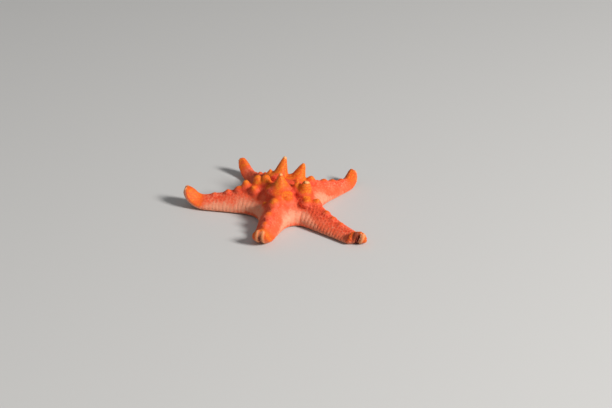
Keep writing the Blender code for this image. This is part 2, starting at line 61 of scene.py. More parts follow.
# Heights along the ridges, measured on the uncurled star
CROWN = 26.0 * MM
TIP_THICKNESS = 8.0 * MM
RIDGE_REACH = 44.0 * MM
RIDGE_POWER = 2.2

# Outline of the arms
BASE_HALF_WIDTH = 13.0 * MM
TIP_HALF_WIDTH = 7.6 * MM
CAP_LENGTH = 10.0 * MM
CAP_HEIGHT = 0.42
CAP_POWER = 2.2
SWAY_START = 38.0 * MM
CURL_ANGLE = math.radians(86)

# Marginal wall
MARGIN_SHARE = 0.46
SIDE_POWER = 1.5
EDGE_LIFT = 1.2 * MM
EDGE_INSET = 1.1 * MM
SHOULDER_INSET = 0.9 * MM
FLAT_SHARE = 0.6

# Furrow under each arm, and the mouth
FURROW_HALF_WIDTH = 2.1 * MM
FURROW_TIP_HALF_WIDTH = 1.2 * MM
FURROW_DEPTH = 3.6 * MM
FURROW_TIP_DEPTH = 2.4 * MM
FURROW_CLOSE = 5.0 * MM
MOUTH_RADIUS = 6.0 * MM
MOUTH_DEPTH = 5.0 * MM

# Azimuth in degrees, straight run, curl radius, sideways swing at the tip, share of the
# usual width at the base and at the tip, furrow gape at the tip, roll of the tip about its
# own length in degrees, how much thicker than usual it is, and the distance from the
# disc's middle to the notch on the arm's left hand side
ARMS = {
    "front": (-109.2, 54.2 * MM, 17.0 * MM, 3.0 * MM, 0.84, 0.84, 0.0, 0, 0.0, 31.0 * MM),
    "front_right": (-46.2, 74.6 * MM, 12.6 * MM, 0.0, 1.0, 0.92, 0.8 * MM, -58, 0.0, 28.3 * MM),
    "back_right": (40.0, 63.6 * MM, 14.6 * MM, 5.0 * MM, 0.94, 0.78, 0.0, 0, -0.6 * MM, 31.0 * MM),
    "back_left": (116.5, 66.0 * MM, 17.5 * MM, 4.0 * MM, 0.88, 0.56, 0.0, 0, 0.0, 35.0 * MM),
    "left": (173.4, 67.0 * MM, 19.0 * MM, 0.0, 1.03, 0.9, 0.0, 0, 2.0 * MM, 30.5 * MM),
}
ROLL_HEIGHT = 4.0 * MM
THICK_START, THICK_FULL = 10.0 * MM, 38.0 * MM

# Horns and knobs: station along the arm, place across it from -1 (right) to 1 (left),
# height, radius at the foot, lean outwards and lean to the left in degrees
HORNS = {
    "front": [
        (10.2, -0.25, 13.0, 7.6, -2, 0), (16.1, 0.6, 5.0, 4.9, 30, 25),
        (28.0, -0.05, 3.6, 4.1, 15, 0), (24.0, -0.6, 2.6, 2.8, 15, -25),
        (41.0, -0.1, 2.6, 3.3, 8, 0), (50.5, -0.05, 1.4, 2.4, 8, 0),
    ],
    "front_right": [
        (19.3, 0.12, 10.0, 5.4, 8, 4), (12.0, 0.02, 6.0, 4.2, 0, 0),
        (26.3, -0.3, 3.7, 3.9, 12, -8), (32.2, 0.2, 3.8, 3.7, 15, 8), (18.2, 0.85, 2.2, 2.4, 10, 20),
        (45.0, 0.05, 2.2, 2.8, 8, 0), (52.5, 0.05, 1.9, 2.6, 8, 0), (61.0, 0.05, 1.4, 2.4, 8, 0),
    ],
    "back_right": [
        (15.0, 0.47, 16.0, 7.0, 19, -11), (8.4, -0.45, 3.5, 2.4, 0, 0), (11.9, 0.9, 7.0, 6.2, 0, 0),
        (23.0, -0.15, 4.7, 4.2, 8, -6), (27.0, 0.6, 3.6, 3.0, 15, 12),
        (39.5, 0.0, 1.7, 2.8, 8, 0), (49.0, 0.0, 1.4, 2.6, 8, 0), (59.5, 0.0, 1.1, 2.2, 8, 0),
    ],
    "back_left": [
        (19.5, -0.2, 17.4, 6.9, 5, -19), (23.0, 0.4, 9.6, 6.2, 6, -16),
        (32.0, 0.4, 3.2, 2.8, 10, 5), (31.0, -0.35, 3.4, 2.8, 12, -8),
        (42.0, 0.0, 2.4, 2.6, 8, 0), (51.5, 0.0, 1.8, 2.4, 8, 0),
    ],
    "left": [
        (23.4, -0.16, 7.6, 4.6, 6, 0), (17.2, -0.12, 7.2, 4.5, 0, 0), (33.0, -0.1, 5.6, 4.3, 10, 0),
        (26.8, 0.28, 4.8, 3.6, 20, 24), (24.5, -0.62, 3.6, 2.8, 12, -20),
        (13.4, 0.74, 5.0, 4.4, 24, 16),
        (39.5, 0.0, 2.6, 3.2, 8, 0), (48.5, 0.0, 2.0, 2.6, 8, 0), (60.0, 0.0, 1.0, 2.2, 8, 0),
    ],
}
# Horns whose tips are bare, by arm and place in its list, with the share of the height
# above which they are
BARE_TIPS = {("front", 0): 0.90, ("front_right", 0): 0.91, ("back_left", 0): 0.92}
# Broad horns that narrow early
PEAKS = (("front", 0), ("back_left", 1))

# Outlines of pointed horns, of broad ones, of blunt ones and of low knobs: share of the
# radius and share of the height
HORN_PROFILE = (
    (0.0, -1.0), (1.3, -0.9), (1.5, -0.04), (1.2, 0.04), (0.98, 0.13), (0.82, 0.26), (0.68, 0.42),
    (0.54, 0.58), (0.41, 0.74), (0.31, 0.86), (0.22, 0.945), (0.12, 0.988), (0.0, 1.0),
)
PEAK_PROFILE = (
    (0.0, -1.0), (1.45, -0.95), (1.66, -0.4), (1.5, -0.04), (1.28, 0.04), (1.06, 0.13), (0.86, 0.26),
    (0.67, 0.42), (0.5, 0.58), (0.35, 0.74), (0.24, 0.86), (0.17, 0.945), (0.1, 0.988), (0.0, 1.0),
)
BLUNT_PROFILE = (
    (0.0, -1.0), (1.3, -0.9), (1.5, -0.05), (1.22, 0.05), (1.04, 0.16), (0.93, 0.32), (0.84, 0.52),
    (0.74, 0.72), (0.6, 0.84), (0.44, 0.92), (0.24, 0.98), (0.0, 1.0),
)
KNOB_PROFILE = (
    (0.0, -1.0), (1.3, -0.9), (1.5, -0.06), (1.2, 0.07), (1.0, 0.2), (0.84, 0.4), (0.66, 0.63),
    (0.44, 0.84), (0.22, 0.96), (0.0, 1.0),
)
BLUNT_SHARE = 0.5             # a tall horn is blunt when its radius passes this share of its height
HORN_ROOT = 2.4 * MM
ROOT_SHARE = 0.6              # root of a broad horn, as a share of its radius
TALL_HORN = 7.0 * MM
HORN_SIDES = 28

# Rows and columns of the sheets that the skin is wrapped over
DISC_ROWS = 18
ARM_ROWS = 96
BOTTOM_COLUMNS = 26
WALL_COLUMNS = 10
TOP_COLUMNS = 26
MERGE = 0.002 * MM
NOTCH_STATION = 26.0 * MM

# Kept for the colours: one number at each point of the skin
TINTS = ("orange", "flame", "pale", "deep", "joint", "brown", "dark", "bare")


def mix(a, b, share):
    return a + (b - a) * share


def ease(low, high, value):
    """Smooth step from 0 at low to 1 at high."""
    share = np.clip((value - low) / (high - low), 0.0, 1.0)
    return share * share * (3 - 2 * share)


def ridge_height(station):
    reach = np.maximum(station, 0) / RIDGE_REACH
    return TIP_THICKNESS + (CROWN - TIP_THICKNESS) * np.exp(-reach ** RIDGE_POWER)


NOTCH_HEIGHT = MARGIN_SHARE * ridge_height(NOTCH_STATION)


class Arm:
    """One arm's outline and its curl, in the arm's own flat frame: along, across and up."""

    def __init__(self, name, azimuth, straight, curl_radius, sway, base, tip, gape, roll, thicker):
        self.name = name
        self.azimuth = math.radians(azimuth)
        self.straight = straight
        self.curl_radius = curl_radius
        self.sway = sway
        self.base_width = BASE_HALF_WIDTH * base
        self.tip_width = TIP_HALF_WIDTH * tip
        self.gape = gape
        self.roll = math.radians(roll)
        self.thicker = thicker
        self.length = straight + curl_radius * CURL_ANGLE
        self.sides = {}
        self.notches = {}

    def ridge(self, station):
        """Height of the ridge."""
        return ridge_height(station) + self.thicker * ease(THICK_START, THICK_FULL, station)

    def set_notch(self, side, half_gap, distance):
        """The notch between this arm and its neighbour on one side, +1 left or -1 right."""
        self.notches[side] = (distance * math.cos(half_gap), distance * math.sin(half_gap))
        station = distance * math.cos(half_gap)
        web = distance * math.sin(half_gap) - self.base_width
        slope = (self.base_width - self.tip_width) / (self.length - station)
        fade = web / (1 / math.tan(half_gap) - slope)
        self.sides[side] = (station, web, slope, fade, half_gap)

    def root_station(self):
        return (self.sides[1][0] + self.sides[-1][0]) / 2

    def station(self, run):
        """Station on the midline: run is -1 at the disc's middle, 0 at the notches, 1 at the tip."""
        root = self.root_station()
        return np.where(run < 0, root * (1 + run), mix(root, self.length, run))

    def run(self, station):
        root = self.root_station()
        return np.where(station < root, station / root - 1, (station - root) / (self.length - root))

    def edge(self, side, run, inset):
        """Point of the outline at a run past the notch, moved in by the inset."""
        root, web, slope, fade, _ = self.sides[side]
        station = mix(root, self.length, run)
        swell = web * np.exp(-(station - root) / fade)
        width = self.base_width - slope * (station - root) + swell
        lean = -slope - swell / fade
        size = np.hypot(1, lean)
        return station + inset * lean / size, side * (width - inset / size)

    def plan(self, side, run, share, inset):
        """Point between the midline (share 0) and the outline (share 1)."""
        x, y = self.edge(side, np.maximum(run, 0), inset)
        shrink = 1 + np.minimum(run, 0)
        return mix(self.station(np.maximum(run, 0)), x, share) * shrink, y * share * shrink

    def shares(self, side, x, y):
        """Run along the arm and share across it of points of the flat arm."""
        middle = self.root_station()
        apart = self.sides[side][0] - middle
        away = np.abs(y) / self.end_shrink(np.minimum(x, self.length - 0.3 * MM))
        share = np.zeros(len(x))
        for _ in range(4):
            run = np.clip((x - middle - share * apart) / (self.length - middle - share * apart), 0, 1)
            share = away / np.abs(self.edge(side, run, 0)[1])
        notch = abs(self.edge(side, 0.0, 0)[1])
        scale = (x - apart * away / notch) / middle
        on_disc = scale < 1
        share = np.where(on_disc, away / (np.maximum(scale, 0.02) * notch), share)
        return np.where(on_disc, scale - 1, run), share

    def shoulder_height(self, run):
        """Height of the marginal wall's upper edge."""
        inner = mix(NOTCH_HEIGHT, CROWN, 1 - np.maximum(1 + run, 0) ** SIDE_POWER)
        outer = mix(NOTCH_HEIGHT, MARGIN_SHARE * self.ridge(self.station(run)), ease(0.0, 0.2, run))
        return np.where(run < 0, inner, outer)

    def end_shrink(self, station):
        """How far the blunt end has drawn in at a station: 1 before it and 0 at the tip."""
        past = np.clip((station - self.length + CAP_LENGTH) / CAP_LENGTH, 0, 1)
        return np.sqrt(1 - past ** CAP_POWER)

    def round_end(self, run, x, y, z):
        """Draws the last sections in towards the middle of the blunt end."""
        station = self.station(run)
        shrink = self.end_shrink(station)
        middle = CAP_HEIGHT * self.ridge(station)
        return mix(station, x, shrink), y * shrink, mix(middle, z, shrink)

    def swing(self, x):
        return self.sway * np.maximum((x - SWAY_START) / (self.length - SWAY_START), 0) ** 2

    def rolled(self, x, y, z, way):
        """Rolls a section about the arm's length, way 1, or back again, way -1."""
        angle = way * self.roll * ease(self.straight + 1 * MM, self.length - 6 * MM, x)
        sine, cosine = np.sin(angle), np.cos(angle)
        rise = z - ROLL_HEIGHT
        return y * cosine - rise * sine, ROLL_HEIGHT + y * sine + rise * cosine

    def place(self, x, y, z):
        """Takes points of the flat arm to their places on the curled one, one row for each."""
        y, z = self.rolled(x, y, z, 1)
        y = y + self.swing(x)
        turn = np.maximum(x - self.straight, 0) / self.curl_radius
        reach = self.curl_radius - z
        curled_x = self.straight + reach * np.sin(turn)
        curled_z = self.curl_radius - reach * np.cos(turn)
        z = np.where(x > self.straight, curled_z, z)
        x = np.where(x > self.straight, curled_x, x)
        sine, cosine = math.sin(self.azimuth), math.cos(self.azimuth)
        return np.stack(np.broadcast_arrays(x * cosine - y * sine, x * sine + y * cosine, z), axis=-1)

    def flatten(self, points):
        """Station, place across and height on the flat arm of points of the curled one."""
        sine, cosine = math.sin(self.azimuth), math.cos(self.azimuth)
        x = points[:, 0] * cosine + points[:, 1] * sine
        y = points[:, 1] * cosine - points[:, 0] * sine
        z = points[:, 2]
        turn = np.arctan2(x - self.straight, self.curl_radius - z)
        reach = np.hypot(x - self.straight, self.curl_radius - z)
        curled = x > self.straight
        z = np.where(curled, self.curl_radius - reach, z)
        x = np.where(curled, self.straight + turn * self.curl_radius, x)
        y, z = self.rolled(x, y - self.swing(x), z, -1)
        return x, y, z

    def furrow_half_width(self, x):
        gape = self.gape * ease(self.straight - 4 * MM, self.length - 4 * MM, x)
        return mix(FURROW_HALF_WIDTH, FURROW_TIP_HALF_WIDTH, x / self.length) + gape

    def furrow_height(self, x, y):
        """Height of the furrow's roof over the floor at a point of the flat arm."""
        half_width = self.furrow_half_width(x)
        depth = mix(FURROW_DEPTH, FURROW_TIP_DEPTH, x / self.length)
        depth = depth * (1 - ease(self.length - FURROW_CLOSE, self.length, x))
        groove = depth * (1 - ease(0.25 * half_width, half_width, np.abs(y)))
        mouth = MOUTH_DEPTH * (1 - ease(0.3 * MOUTH_RADIUS, MOUTH_RADIUS, np.hypot(x, y)))
        return np.maximum(groove, mouth)

    def bottom(self, side, run, share):
        """Underside: furrow, flat strip and the rise to the wall."""
        x, y = self.plan(side, run, share, EDGE_INSET)
        lift = EDGE_LIFT * ease(FLAT_SHARE, 1.0, share) * ease(-0.25, 0.0, run)
        z = np.maximum(self.furrow_height(x, y), lift)
        return self.place(*self.round_end(run, x, y, z))

    def wall(self, side, run, share):
        """Marginal wall, from its lower edge (share 0) to its shoulder (share 1)."""
        bulge = 1 - np.abs(2 * share - 1) ** 1.5
        inset = mix(EDGE_INSET, SHOULDER_INSET, share) * (1 - bulge)
        x, y = self.plan(side, run, 1.0, inset)
        z = mix(EDGE_LIFT, self.shoulder_height(run), share)
        return self.place(*self.round_end(run, x, y, z))

    def top(self, side, run, share):
        """Upper side, from the ridge (share 0) to the shoulder (share 1)."""
        x, y = self.plan(side, run, share, SHOULDER_INSET)
        web = np.cos(share * math.pi / 2) ** 2
        flank = mix(web, 1 - share ** SIDE_POWER, ease(-0.1, 0.3, run))
        z = mix(self.shoulder_height(run), self.ridge(self.station(run)), flank)
        return self.place(*self.round_end(run, x, y, z))

    def under_point(self, x, y, z):
        """A point near the furrow, by its place on the flat arm."""
        return Vector(self.place(*self.round_end(self.run(x), x, y, z)))

    def directions(self):
        outward = Vector((math.cos(self.azimuth), math.sin(self.azimuth), 0))
        return outward, Vector((-outward.y, outward.x, 0))


def make_arms():
    """Arms in counter-clockwise order, with the notches between neighbours."""
    arms = [Arm(name, *sizes[:-1]) for name, sizes in ARMS.items()]
    for arm, following in zip(arms, arms[1:] + arms[:1]):
        half_gap = (following.azimuth - arm.azimuth) % math.tau / 2
        distance = ARMS[arm.name][-1]
        arm.set_notch(1, half_gap, distance)
        following.set_notch(-1, half_gap, distance)
    return arms


STAR = make_arms()


class Horn:
    """A horn or knob: where it stands, its axis, its size and its outline."""

    def __init__(self, arm, index):
        station, across, height, radius, lean_out, lean_left = HORNS[arm.name][index]
        side = 1 if across >= 0 else -1
        self.foot = Vector(arm.top(side, arm.run(station * MM), abs(across)))
        outward, leftward = arm.directions()
        axis = Vector((0, 0, 1)) + outward * math.tan(math.radians(lean_out))
        axis += leftward * math.tan(math.radians(lean_left))
        self.axis = axis.normalized()
        self.height = height * MM
        self.radius = radius * MM
        self.tall = self.height > TALL_HORN
        self.bare = BARE_TIPS.get((arm.name, index))
        self.outline = KNOB_PROFILE
        if self.tall:
            self.outline = BLUNT_PROFILE if self.radius > BLUNT_SHARE * self.height else HORN_PROFILE
        if (arm.name, index) in PEAKS:
            self.outline = PEAK_PROFILE

    def width_at(self, share):
        """Share of the radius at a share of the height."""
        high = [point[1] for point in self.outline]
        return float(np.interp(share, high, [point[0] for point in self.outline]))

    def skin_mesh(self):
        """The horn up to its tip, or to just inside its bare tip."""
        if not self.bare:
            return self.turned_outline(self.outline)
        cut = [point for point in self.outline if point[1] < self.bare]
        inside = self.bare + 0.4 * (1 - self.bare)
        return self.turned_outline([*cut, (self.width_at(self.bare), self.bare),
                                    (0.8 * self.width_at(inside), inside), (0, inside + 0.01)])

    def tip_mesh(self):
        """The bare tip, which fits over the horn's end."""
        cut = [point for point in self.outline if point[1] > self.bare + 0.01]
        wide = self.width_at(self.bare)
        return self.turned_outline([(0, self.bare - 0.02), (wide * 0.9, self.bare - 0.02),
                                    (wide * 1.02, self.bare), *cut])

    def turned_outline(self, outline):
        root = max(HORN_ROOT, ROOT_SHARE * self.radius)
        profile = [(wide * self.radius, high * (self.height if high > 0 else root))
                   for wide, high in outline]
        return turned(profile, HORN_SIDES, self.foot, self.axis)

    def measure(self, points):
        """Share of the height and share of the radius at which points lie."""
        offset = points - np.array(self.foot)
        rise = offset @ np.array(self.axis)
        away = np.linalg.norm(offset - rise[:, None] * np.array(self.axis), axis=1)
        return rise / self.height, away / self.radius


ALL_HORNS = [Horn(arm, index) for arm in STAR for index in range(len(HORNS[arm.name]))]


def turned(profile, sides, point, axis):
    """A solid turned round an axis through the point, from pairs of radius and height."""
    bm = bmesh.new()
    line = [bm.verts.new((radius, 0, rise)) for radius, rise in profile]
    edges = [bm.edges.new(pair) for pair in zip(line, line[1:])]
    bmesh.ops.spin(bm, geom=line + edges, axis=(0, 0, 1), cent=(0, 0, 0), angle=math.tau,
                   steps=sides, use_merge=True)
    bmesh.ops.remove_doubles(bm, verts=bm.verts, dist=MERGE)
    bmesh.ops.recalc_face_normals(bm, faces=bm.faces)
    turn = axis.to_track_quat("Z", "Y").to_matrix().to_4x4()
    bmesh.ops.transform(bm, matrix=Matrix.Translation(point) @ turn, verts=bm.verts)
    return bm


def add_sheet(bm, columns, rows, mapping):
    """A grid whose sides run 0 to 1 across and along, laid out by the mapping."""
    grid = bmesh.ops.create_grid(bm, x_segments=columns, y_segments=rows, size=0.5)
    places = np.array([vertex.co for vertex in grid["verts"]]) + 0.5
    for vertex, place in zip(grid["verts"], mapping(places[:, 0], places[:, 1])):
        vertex.co = place


def row_run(share):
    """Run of a row of the whole arm: negative on the disc, positive on the arm."""
    row = share * (DISC_ROWS + ARM_ROWS) - DISC_ROWS
    return np.where(row < 0, row / DISC_ROWS, row / ARM_ROWS)


def plain_star():
    """The whole star without relief as one closed mesh, with its horns stuck into it."""
    bm = bmesh.new()
    rows = DISC_ROWS + ARM_ROWS
    for arm in STAR:
        for side in (1, -1):
            add_sheet(bm, BOTTOM_COLUMNS, rows, lambda u, v: arm.bottom(side, row_run(v), u))
            add_sheet(bm, WALL_COLUMNS, ARM_ROWS, lambda u, v: arm.wall(side, v, u))
            add_sheet(bm, TOP_COLUMNS, rows, lambda u, v: arm.top(side, row_run(v), u))
    bmesh.ops.remove_doubles(bm, verts=bm.verts, dist=MERGE)
    bmesh.ops.recalc_face_normals(bm, faces=bm.faces)
    mesh = bpy.data.meshes.new("plain_star")
    for horn in ALL_HORNS:
        piece = horn.skin_mesh()
        piece.to_mesh(mesh)
        piece.free()
        bm.from_mesh(mesh)
    bm.to_mesh(mesh)
    bm.free()
    return mesh


def link(name, mesh):
    item = bpy.data.objects.new(name, mesh)
    bpy.context.scene.collection.objects.link(item)
    return item


def evaluated(item):
    """The mesh of an object with its modifiers applied. The object itself is removed."""
    depsgraph = bpy.context.evaluated_depsgraph_get()
    mesh = bpy.data.meshes.new_from_object(item.evaluated_get(depsgraph))
    old = item.data
    bpy.data.objects.remove(item, do_unlink=True)
    if old and not old.users:
        bpy.data.meshes.remove(old)
    return mesh


def wrap(mesh, voxel):
    """One even skin over overlapping closed shapes."""
    item = link("wrap", mesh)
    remesh = item.modifiers.new("wrap", "REMESH")
    remesh.mode = "VOXEL"
    remesh.voxel_size = voxel
    return evaluated(item)


def points_of(mesh):
    places = np.empty(len(mesh.vertices) * 3, np.float32)
    mesh.vertices.foreach_get("co", places)
    return places.reshape(-1, 3).astype(float)


def normals_of(mesh):
    arrows = np.empty(len(mesh.vertices) * 3, np.float32)
    mesh.vertex_normals.foreach_get("vector", arrows)
    return arrows.reshape(-1, 3).astype(float)


def set_points(mesh, places):
    mesh.vertices.foreach_set("co", places.astype(np.float32).ravel())
    mesh.update()


def store(mesh, name, values):
    """Keeps one number or one arrow at each point of a mesh."""
    several = values.ndim == 2
    layer = mesh.attributes.new(name, "FLOAT_VECTOR" if several else "FLOAT", "POINT")
    layer.data.foreach_set("vector" if several else "value", values.astype(np.float32).ravel())


def stored(mesh, name):
    layer = mesh.attributes[name]
    several = layer.data_type == "FLOAT_VECTOR"
    values = np.empty(len(mesh.vertices) * (3 if several else 1), np.float32)
    layer.data.foreach_get("vector" if several else "value", values)
    return values.reshape(-1, 3) if several else values


def relax(mesh, rounds, share):
    """Moves each point a share of the way to the middle of its neighbours, in rounds."""
    ends = np.empty(len(mesh.edges) * 2, np.int32)
    mesh.edges.foreach_get("vertices", ends)
    first, second = ends.reshape(-1, 2).T
    places = points_of(mesh)
    count = np.bincount(ends, minlength=len(places))[:, None]
    for _ in range(rounds):
        total = np.stack([np.bincount(first, places[second, axis], len(places))
                          + np.bincount(second, places[first, axis], len(places))
                          for axis in range(3)], axis=-1)
        places += (total / count - places) * share[:, None]
    set_points(mesh, places)


class Survey:
    """What the relief and the colours need to know about each point of the skin."""

    def __init__(self, points):
        count = len(points)
        self.points = points
        self.arm = self.sectors(points)
        self.x, self.y, self.z, self.run, self.share, self.plate = (np.zeros(count) for _ in range(6))
        self.notch, self.straight, self.furrow, self.roof = (np.zeros(count) for _ in range(4))
        self.shoulder, self.ridge = np.zeros(count), np.zeros(count)
        for index, arm in enumerate(STAR):
            here = self.arm == index
            x, y, z = arm.flatten(points[here])
            self.x[here], self.y[here] = x, y
            self.straight[here] = arm.straight
            self.furrow[here] = arm.furrow_half_width(x)
            self.roof[here] = arm.furrow_height(x, y)
            for side in (1, -1):
                half = y * side > 0
                flank = here.copy()
                flank[here] = half
                self.run[flank], self.share[flank] = arm.shares(side, x[half], y[half])
                self.plate[flank] = plate_count(arm, side, x[half], np.abs(y[half]))
                near = arm.notches[side]
                self.notch[flank] = np.hypot(x[half] - near[0], np.abs(y[half]) - near[1])
            self.shoulder[here] = arm.shoulder_height(self.run[here])
            self.ridge[here] = arm.ridge(x)
            middle = CAP_HEIGHT * self.ridge[here]
            self.z[here] = middle + (z - middle) / np.maximum(arm.end_shrink(x), 0.15)
        self.height = np.clip(self.z / self.ridge, 0, 1.2)
        self.above = np.clip((self.z - self.shoulder) / (self.ridge - self.shoulder), 0, 1.2)
        self.low = np.clip(self.z / self.shoulder, 0, 1)
        self.tall, self.knob, self.foot = horn_shares(points)

    @staticmethod
    def sectors(points):
        """Index of the arm whose part of the star each point lies in."""
        angle = np.arctan2(points[:, 1], points[:, 0])
        sector = np.zeros(len(points), int)
        for index, arm in enumerate(STAR):
            turn = (angle - arm.azimuth + math.pi) % math.tau - math.pi
            sector[(turn <= arm.sides[1][4]) & (turn > -arm.sides[-1][4])] = index
        return sector


MARGIN_SAMPLES = 240
PLATE_PITCH = 3.7 * MM        # length of a marginal plate at the notch
PLATE_TAPER = 0.25            # share by which the plates are shorter at the tip


def plate_count(arm, side, x, across):
    """Count of marginal plates from the notch to the point of the outline nearest in plan."""
    run = np.linspace(0, 1, MARGIN_SAMPLES) ** 0.8
    stations, widths = arm.edge(side, run, 0)
    widths = np.abs(widths) * arm.end_shrink(stations)
    passed = np.concatenate(([0], np.cumsum(np.hypot(np.diff(stations), np.diff(widths)))))
    tree = KDTree(MARGIN_SAMPLES)
    for index, place in enumerate(zip(stations, widths)):
        tree.insert((*place, 0), index)
    tree.balance()
    length = np.empty(len(x))
    for index, place in enumerate(zip(x, across)):
        (_, first, near), (_, second, far) = tree.find_n((*place, 0), 2)
        span = abs(passed[second] - passed[first])
        step = 0.5 + (near ** 2 - far ** 2) / (2 * span ** 2)
        length[index] = passed[first] + (passed[second] - passed[first]) * min(max(step, 0), 1)
    share = length / passed[-1]
    whole = passed[-1] / PLATE_PITCH
    return whole * (share + PLATE_TAPER * share ** 2)


def horn_shares(points):
    """How far up a tall horn and a knob each point is, and how near to the foot of either."""
    tall, knob, foot = (np.zeros(len(points)) for _ in range(3))
    for horn in ALL_HORNS:
        rise, away = horn.measure(points)
        on_it = (1 - ease(1.25, 1.7, away + 0.5 * rise)) * ease(-0.25, 0.05, rise)
        value = np.clip(rise, 0, 1.1) * on_it
        if horn.tall:
            tall = np.maximum(tall, value)
        else:
            knob = np.maximum(knob, value)
        ring = np.exp(-((away - 1.45) / 0.45) ** 2) * np.exp(-(rise * horn.height / (2.2 * MM)) ** 2)
        foot = np.maximum(foot, ring * min(horn.height / (9 * MM), 1))
    return tall, knob, foot


def spread(points, spacing, draw):
    """Seeded choice of points that keep at least the spacing apart."""
    cells = {}
    chosen = []
    keys = np.floor(points / spacing).astype(int).tolist()
    places = points.tolist()
    order = list(range(len(places)))
    draw.shuffle(order)
    steps = [(a, b, c) for a in (-1, 0, 1) for b in (-1, 0, 1) for c in (-1, 0, 1)]
    for index in order:
        a, b, c = keys[index]
        place = places[index]
        near = [other for i, j, k in steps for other in cells.get((a + i, b + j, c + k), ())]
        if all(math.dist(place, places[other]) >= spacing for other in near):
            cells.setdefault((a, b, c), []).append(index)
            chosen.append(index)
    return chosen


def border_distance(points, seeds):
    """How much nearer each point is to its nearest seed than to the second nearest."""
    tree = KDTree(len(seeds))
    for index, seed in enumerate(seeds):
        tree.insert(points[seed], index)
    tree.balance()
    gap = np.empty(len(points))
    for index, point in enumerate(points):
        nearest, second = tree.find_n(point, 2)
        gap[index] = second[2] - nearest[2]
    return gap


def soft_noise(points, size, offset):
    """Smooth noise from -1 to 1 with lumps of about the given size."""
    return np.array([noise.noise(Vector(point) / size + offset) for point in points])


def plate_tops(count, power):
    """1 on the middle of each plate and 0 in the joints, from a running count."""
    return 1 - np.abs(2 * (count % 1) - 1) ** power


# How the arms differ in colour: share of their height up to which the lower side is pale,
# how dark the joints between the plates are, how brownish the lower side is, a tone that is
# partly painted shade, how orange the ridge is, how far past the start of the curl the tip
# turns orange, and how pale the rim of the tip is
ARM_LOOKS = {
    "front": (0.24, 0.25, 0.0, 1.0, 1.0 * MM, 0.0),
    "front_right": (0.42, 0.9, 0.6, 0.8, 3.0 * MM, 0.0),
    "back_right": (0.22, 0.18, 0.0, 0.35, 4.0 * MM, 0.8),
    "back_left": (0.30, 0.30, 0.1, 0.5, 12.0 * MM, 0.4),
    "left": (0.65, 0.08, 0.0, 0.5, 4.0 * MM, 0.9),
}
NET_ARM = 1                   # arm whose base shows the net most, and whose tip has painted shadow over its hollow

# Noises that break up the markings and the relief: size of the lumps and where they are sampled
MOTTLE = (2.2 * MM, Vector((9, 2, 4)))
BLOTCH = (9 * MM, Vector((1, 8, 3)))
SPECKS = (1.3 * MM, Vector((2, 6, 1)))
WOBBLE = (5 * MM, Vector((3, 1, 7)))
SWELL = (7 * MM, Vector((0, 5, 2)))
WOBBLE_SHARE = 0.24           # sideways wander of the plates, as a share of a plate
SWELL_HEIGHT = 0.12 * MM

# Zones along an arm, as the pairs of stations or heights between which each one starts or ends
FURROW_ROOF = (1.5 * MM, 0.6 * MM)     # over the furrow's roof
FURROW_SHADE = (0.3 * MM, 1.4 * MM)    # furrow's depth
CURL_ZONE = (-2 * MM, 8 * MM)          # past the start of the curl
TIP_ZONE = (-8 * MM, 8 * MM)           # past the place where the tip turns orange
HOLLOW_SHADOW_ZONE = (12 * MM, 6 * MM)        # past the start of the curl, for stripes in the painted shadow over the hollow
NET_ZONE = (52 * MM, 38 * MM)
JOINT_ZONE = (36 * MM, 50 * MM)
RIDGE_ZONE = (50 * MM, 24 * MM)
KNOB_ZONE = (32 * MM, 42 * MM)
DISC_GLOW = (30 * MM, 14 * MM)         # the disc turns to flame red
UNDER_HEIGHT = 2.5 * MM
WEB_PALE = 17.0 * MM                   # height up to which the webs are pale
WEB_REACH = 20 * MM                    # distance from the notch at which that has faded
LIP_WIDTH = 3.2 * MM
LIP_START = 0.5 * MM                   # how far inside the furrow's edge its lip starts
LIP_HEIGHT = 0.5 * MM


